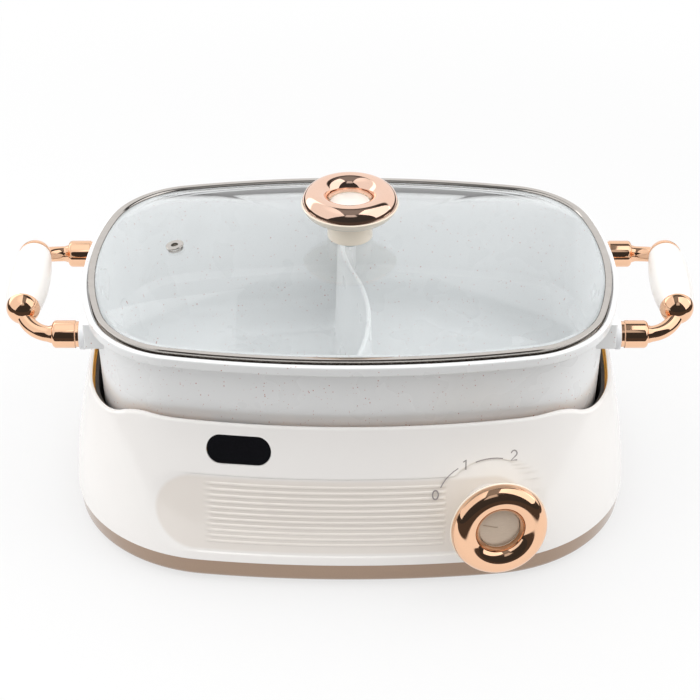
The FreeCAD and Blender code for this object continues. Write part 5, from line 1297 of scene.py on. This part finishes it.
def build_band():
    """The lid's folded steel band, swept round its outline."""
    low, high = POT_RIM_Z - SEAT_DEPTH, glass_levels()[1] + 0.1 + LID_RIM_SHEET
    sheet = LID_RIM_SHEET
    path = bpy.data.curves.new("path", "CURVE")
    path.dimensions = "3D"
    points = level(inset(lid_plan(), LID_RIM_WIDTH / 2), (low + high) / 2, POT_STEPS)
    line = path.splines.new("POLY")
    line.points.add(len(points) - 1)
    for point, spot in zip(line.points, points):
        point.co = (*(value * MM for value in spot), 1.0)
    line.use_cyclic_u = True
    steel = plain("lid_steel")
    width, height, fold = LID_RIM_WIDTH - sheet, high - low - sheet, 1.5
    band = placed("band", grown(path, band_tree(), {"Width": width * MM, "Height": height * MM,
                                                    "Round": fold * MM, "Material": steel}))
    thicken = band.modifiers.new("sheet", "SOLIDIFY")
    thicken.thickness, thicken.offset = sheet * MM, 0.0
    finished("lid_band", baked(band), steel, body="lid", slot="lid_steel", replaced=["lid_rim"])


def build_vent():
    spot, axis = vent_place()
    low, high, sheet = -mm("glass_thick") - 0.6, 0.3, 0.8
    outer, flange, inner, bore = VENT_R - 0.05, 5.6, 4.8, 2.2
    section = rounded([(bore, low - sheet), (bore, high + sheet, 0.3), (flange, high + sheet, 0.5),
                       (flange, high), (outer, high), (outer, low), (inner, low),
                       (inner, low - sheet, 0.3), (bore, low - sheet)])
    eyelet = moved(lathe(section, 64), turned_to(spot, axis))
    finished("vent_ring", eyelet, plain("lid_steel"), body="lid", slot="lid_steel",
             replaced=["vent_eyelet"])


def build_spring():
    """The temperature sensor's coil spring, built at its rest length; in the cooker it shortens as its cap is
    pressed down.
    """
    wire, coil, turns, steps, guide, cap, play = 0.6, 9.5, 5, 28, 2.5, 3.0, 0.3
    low, high = LINER_FLOOR_Z + guide + wire, POT_BASE_Z - play - cap - wire
    rows = []
    for i in range(turns * steps + 1):
        angle = 2 * math.pi * i / steps
        middle = low + (high - low) * i / (turns * steps)
        row = []
        for a in (math.radians(30 * j) for j in range(12)):
            reach = coil + wire * math.cos(a)
            row.append((reach * math.cos(angle), reach * math.sin(angle), middle + wire * math.sin(a)))
        rows.append(row)
    spring = finished("sensor_coil", skin(rows), plain("steel"), body="base", slot="steel",
                      replaced=["sensor_spring"])
    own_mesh(spring)


# ---- Pieces that stay as they are in the frame

CARRIED = {
    "brass": ("thermostat_nut", "inlet_blades", "element_terminals"),
    "steel": ("plate_studs", "plate_washers", "plate_nuts", "earth_tag", "sensor_clip", "handle_studs",
              "grip_rods", "knob_screw", "knob_washer", "thermostat_blades", "thermostat_shaft",
              "fuse_clip"),
    "lamp": ("lamps",), "board": ("lamp_board",), "thermostat": ("thermostat_body",),
    "plate": ("heating_plate", "sensor_cap"), "element": ("heating_element",),
    "ceramic": ("plate_posts", "sensor_guide", "terminal_block", "thermal_fuse"),
    "inlet": ("power_inlet",), "live": ("live_wire", "fuse_wire", "switched_wire"),
    "neutral": ("neutral_wire",), "earth": ("earth_wire",), "red": ("element_wires", "lamp_wires"),
}


def dress_carried():
    for slot, names in CARRIED.items():
        for name in names:
            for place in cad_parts[name].material_slots:
                place.material = plain(slot)


# ---- Stage

def area_mask(tree, value, low, high, soft):
    """1 where value lies between low and high, with soft edges, else 0."""
    rise = add(tree, "ShaderNodeMapRange", {"Value": value},
               {"From Min": low - soft, "From Max": low + soft}, interpolation_type="SMOOTHSTEP")
    fall = add(tree, "ShaderNodeMapRange", {"Value": value},
               {"From Min": high - soft, "From Max": high + soft, "To Min": 1.0, "To Max": 0.0},
               interpolation_type="SMOOTHSTEP")
    return calc(tree, "MULTIPLY", rise.outputs[0], fall.outputs[0])


def calc(tree, operation, *terms):
    """The output of a Math node on sockets or numbers."""
    links = {i: term for i, term in enumerate(terms) if not isinstance(term, (int, float))}
    values = {i: term for i, term in enumerate(terms) if isinstance(term, (int, float))}
    return add(tree, "ShaderNodeMath", links, values, operation=operation).outputs[0]


def build_floor():
    """A pale table that glows into a white sweep. Only the camera and clear glass see it whole: for polished
    metal and for soft light it ends at the table's edges, and a dark room lies beyond."""
    floor = bpy.data.meshes.new("floor")
    corners = ((-1, -1), (1, -1), (1, 1), (-1, 1))
    floor.from_pydata([(x * FLOOR_REACH, y * FLOOR_REACH, 0) for x, y in corners], [], [(0, 1, 2, 3)])
    material, tree = blank("pale floor")
    ray = add(tree, "ShaderNodeLightPath")
    shown = calc(tree, "MAXIMUM", ray.outputs["Is Camera Ray"], ray.outputs["Is Transmission Ray"])
    seen = calc(tree, "MAXIMUM", shown, ray.outputs["Is Glossy Ray"])
    place = add(tree, "ShaderNodeTexCoord")
    split = add(tree, "ShaderNodeSeparateXYZ", {0: place.outputs["Object"]})
    away = add(tree, "ShaderNodeVectorMath", {0: place.outputs["Object"]}, operation="LENGTH")
    distance = add(tree, "ShaderNodeMapRange", {"Value": away.outputs["Value"]},
                   {"From Min": GLOW_NEAR, "From Max": GLOW_FAR}, interpolation_type="SMOOTHSTEP")
    matt = add(tree, "ShaderNodeBsdfDiffuse", values={"Color": linear("#DADADA")})
    glow = add(tree, "ShaderNodeEmission", values={"Strength": 1.0})
    share = calc(tree, "MULTIPLY_ADD", distance.outputs[0], 1.0 - FLOOR_GLOW, FLOOR_GLOW)
    white = add(tree, "ShaderNodeMixShader",
                {0: calc(tree, "MULTIPLY", share, seen), 1: matt.outputs[0], 2: glow.outputs[0]})
    table = calc(tree, "MULTIPLY", area_mask(tree, split.outputs["X"], -TABLE_SIDE, TABLE_SIDE, 0.02),
                 area_mask(tree, split.outputs["Y"], TABLE_FRONT, TABLE_BACK, 0.01))
    beyond = calc(tree, "MULTIPLY", calc(tree, "SUBTRACT", 1.0, shown), calc(tree, "SUBTRACT", 1.0, table))
    room = add(tree, "ShaderNodeEmission", values={"Color": linear("#4A4440"), "Strength": 1.0})
    both = add(tree, "ShaderNodeMixShader", {0: beyond, 1: white.outputs[0], 2: room.outputs[0]})
    add(tree, "ShaderNodeOutputMaterial", {"Surface": both.outputs[0]})
    floor.materials.append(material)
    placed("floor", floor)


def build_world():
    """Soft light, more of it from above; a white background; for polished metal a dark room with a sweep."""
    world = bpy.data.worlds.new("studio")
    bpy.context.scene.world = world
    world.use_nodes = True
    tree = world.node_tree
    tree.nodes.clear()
    way = add(tree, "ShaderNodeTexCoord")
    split = add(tree, "ShaderNodeSeparateXYZ", {0: way.outputs["Generated"]})
    back = calc(tree, "MULTIPLY", split.outputs["Y"], -1.0)
    # Angles in degrees: round from the front to the right, and up from the table
    degrees = math.degrees(1.0)
    turn = calc(tree, "MULTIPLY", calc(tree, "ARCTAN2", split.outputs["X"], back), degrees)
    height = calc(tree, "MULTIPLY", calc(tree, "ARCSINE", split.outputs["Z"]), degrees)
    aside = calc(tree, "DIVIDE", calc(tree, "SUBTRACT", 180.0, calc(tree, "ABSOLUTE", turn)), SWEEP_TURN)
    raised = calc(tree, "DIVIDE", height, SWEEP_HEIGHT)
    far = calc(tree, "ADD", calc(tree, "POWER", aside, 2.0), calc(tree, "POWER", raised, 2.0))
    sweep = add(tree, "ShaderNodeMapRange", {"Value": far},
                {"From Min": SWEEP_EDGE[0], "From Max": SWEEP_EDGE[1], "To Min": 1.0, "To Max": 0.0},
                interpolation_type="SMOOTHSTEP")
    high = add(tree, "ShaderNodeMapRange", {"Value": height},
               {"From Min": ROOM_HEIGHTS[0], "From Max": ROOM_HEIGHTS[1]}, interpolation_type="SMOOTHSTEP")
    dark = calc(tree, "MULTIPLY_ADD", high.outputs[0], ROOM_RISE, ROOM_LIGHT)
    patch = calc(tree, "MULTIPLY", area_mask(tree, turn, *PATCH_TURN, 3.0),
                 area_mask(tree, height, *PATCH_HEIGHTS, 2.0))
    room = calc(tree, "MAXIMUM", calc(tree, "MAXIMUM", dark, sweep.outputs[0]),
                calc(tree, "MULTIPLY", patch, PATCH_LIGHT))
    ray = add(tree, "ShaderNodeLightPath")
    seen = calc(tree, "MAXIMUM", ray.outputs["Is Camera Ray"], ray.outputs["Is Transmission Ray"])
    ambient = calc(tree, "MULTIPLY_ADD", split.outputs["Z"], AMBIENT_ABOVE, AMBIENT)
    soft, studio = (add(tree, "ShaderNodeBackground", {"Strength": strength}, {"Color": linear("#FFFFFF")})
                    for strength in (ambient, room))
    white = add(tree, "ShaderNodeBackground", values={"Color": linear("#FFFFFF"), "Strength": 1.0})
    mirror = add(tree, "ShaderNodeMixShader", {0: ray.outputs["Is Glossy Ray"], 1: soft.outputs[0],
                                               2: studio.outputs[0]})
    mixed = add(tree, "ShaderNodeMixShader", {0: seen, 1: mirror.outputs[0], 2: white.outputs[0]})
    add(tree, "ShaderNodeOutputWorld", {"Surface": mixed.outputs[0]})


def build_softbox(name, low, high, ends, radiance):
    """A leaning rectangular lamp between a lower and an upper edge."""
    rise = Vector((high[0] - low[0], 0.0, high[1] - low[1]))
    lamp = bpy.data.lights.new(name, "AREA")
    lamp.shape, lamp.size, lamp.size_y = "RECTANGLE", ends[1] - ends[0], rise.length
    lamp.energy = radiance * math.pi * lamp.size * lamp.size_y
    lamp.use_nodes = True
    tree = lamp.node_tree
    tree.nodes.clear()
    ray = add(tree, "ShaderNodeLightPath")
    power = calc(tree, "MULTIPLY_ADD", ray.outputs["Is Glossy Ray"], MIRRORED_BOX - 1.0, 1.0)
    shine = add(tree, "ShaderNodeEmission", {"Strength": power})
    add(tree, "ShaderNodeOutputLight", {"Surface": shine.outputs[0]})
    light = placed(name, lamp)
    up = rise.normalized()
    along = Vector((0.0, math.copysign(1.0, low[0]), 0.0))
    backward = along.cross(up)
    matrix = Matrix((along, up, backward)).transposed().to_4x4()
    matrix.translation = ((low[0] + high[0]) / 2, (ends[0] + ends[1]) / 2, (low[1] + high[1]) / 2)
    light.matrix_world = matrix
    light.visible_camera = light.visible_transmission = False


def build_stage():
    """Pale table, white world, two softboxes and the camera."""
    scene = bpy.context.scene
    scene.view_settings.view_transform = "Standard"
    build_floor()
    build_world()
    for box in SOFTBOXES:
        build_softbox(*box)
    lens = bpy.data.cameras.new("camera")
    lens.lens, lens.sensor_width = CAMERA_LENS, 36.0
    scene.camera = placed("camera", lens)
    pitch, distance = math.radians(CAMERA_PITCH), CAMERA_DISTANCE
    scene.camera.location = (0, -distance * math.cos(pitch), CAMERA_AIM + distance * math.sin(pitch))
    scene.camera.rotation_euler = (math.pi / 2 - pitch, 0, 0)


# ---- Add-on

class HOTPOT_OT_stage(bpy.types.Operator):
    """Set up the floor, the lights and the camera"""
    bl_idname = "hotpot.stage"
    bl_label = "Stage"

    def execute(self, context):
        build_stage()
        return {"FINISHED"}


class HOTPOT_OT_casing(bpy.types.Operator):
    """Build the casing with its panel, the window and the printed marks"""
    bl_idname = "hotpot.casing"
    bl_label = "Casing"

    def execute(self, context):
        build_casing()
        build_window()
        build_marks()
        return {"FINISHED"}


class HOTPOT_OT_tray(bpy.types.Operator):
    """Build the tray with its feet and the screws"""
    bl_idname = "hotpot.tray"
    bl_label = "Tray, feet and screws"

    def execute(self, context):
        build_tray()
        build_feet()
        build_screws()
        return {"FINISHED"}


class HOTPOT_OT_dial(bpy.types.Operator):
    """Build the heat dial"""
    bl_idname = "hotpot.dial"
    bl_label = "Dial"

    def execute(self, context):
        build_dial()
        return {"FINISHED"}


class HOTPOT_OT_pot(bpy.types.Operator):
    """Build the heat liner and the divided pot"""
    bl_idname = "hotpot.pot"
    bl_label = "Liner and pot"

    def execute(self, context):
        build_liner()
        build_pot()
        return {"FINISHED"}


class HOTPOT_OT_handles(bpy.types.Operator):
    """Build the two side handles"""
    bl_idname = "hotpot.handles"
    bl_label = "Handles"

    def execute(self, context):
        build_handles()
        return {"FINISHED"}


class HOTPOT_OT_lid(bpy.types.Operator):
    """Build the glass lid with its band, vent and knob"""
    bl_idname = "hotpot.lid"
    bl_label = "Lid and knob"

    def execute(self, context):
        build_glass()
        build_band()
        build_vent()
        build_knob()
        return {"FINISHED"}


class HOTPOT_OT_insides(bpy.types.Operator):
    """Build the sensor's spring and give the pieces inside the cooker their finishes"""
    bl_idname = "hotpot.insides"
    bl_label = "Inner pieces"

    def execute(self, context):
        build_spring()
        dress_carried()
        return {"FINISHED"}


STEPS = ("stage", "casing", "tray", "dial", "pot", "handles", "lid", "insides")


class HOTPOT_PT_panel(bpy.types.Panel):
    """The hot pot's sizes, colours and building steps."""
    bl_idname = "HOTPOT_PT_panel"
    bl_label = "Electric hot pot"
    bl_space_type = "VIEW_3D"
    bl_region_type = "UI"
    bl_category = "Hot pot"

    def draw(self, context):
        column = self.layout.column()
        for group in (context.scene.hot_pot_sizes, context.scene.hot_pot_colours):
            for name in group.__annotations__:
                column.prop(group, name)
        for step in STEPS:
            column.operator("hotpot." + step)


CLASSES = (HotPotSizes, HotPotColours, HOTPOT_OT_stage, HOTPOT_OT_casing, HOTPOT_OT_tray, HOTPOT_OT_dial,
           HOTPOT_OT_pot, HOTPOT_OT_handles, HOTPOT_OT_lid, HOTPOT_OT_insides, HOTPOT_PT_panel)


def register():
    for item in CLASSES:
        bpy.utils.register_class(item)
    bpy.types.Scene.hot_pot_sizes = PointerProperty(type=HotPotSizes)
    bpy.types.Scene.hot_pot_colours = PointerProperty(type=HotPotColours)


def unregister():
    del bpy.types.Scene.hot_pot_sizes
    del bpy.types.Scene.hot_pot_colours
    for item in reversed(CLASSES):
        bpy.utils.unregister_class(item)


def main():
    register()
    for step in STEPS:
        getattr(bpy.ops.hotpot, step)()
    bpy.context.view_layer.update()


if __name__ == "__main__":
    main()
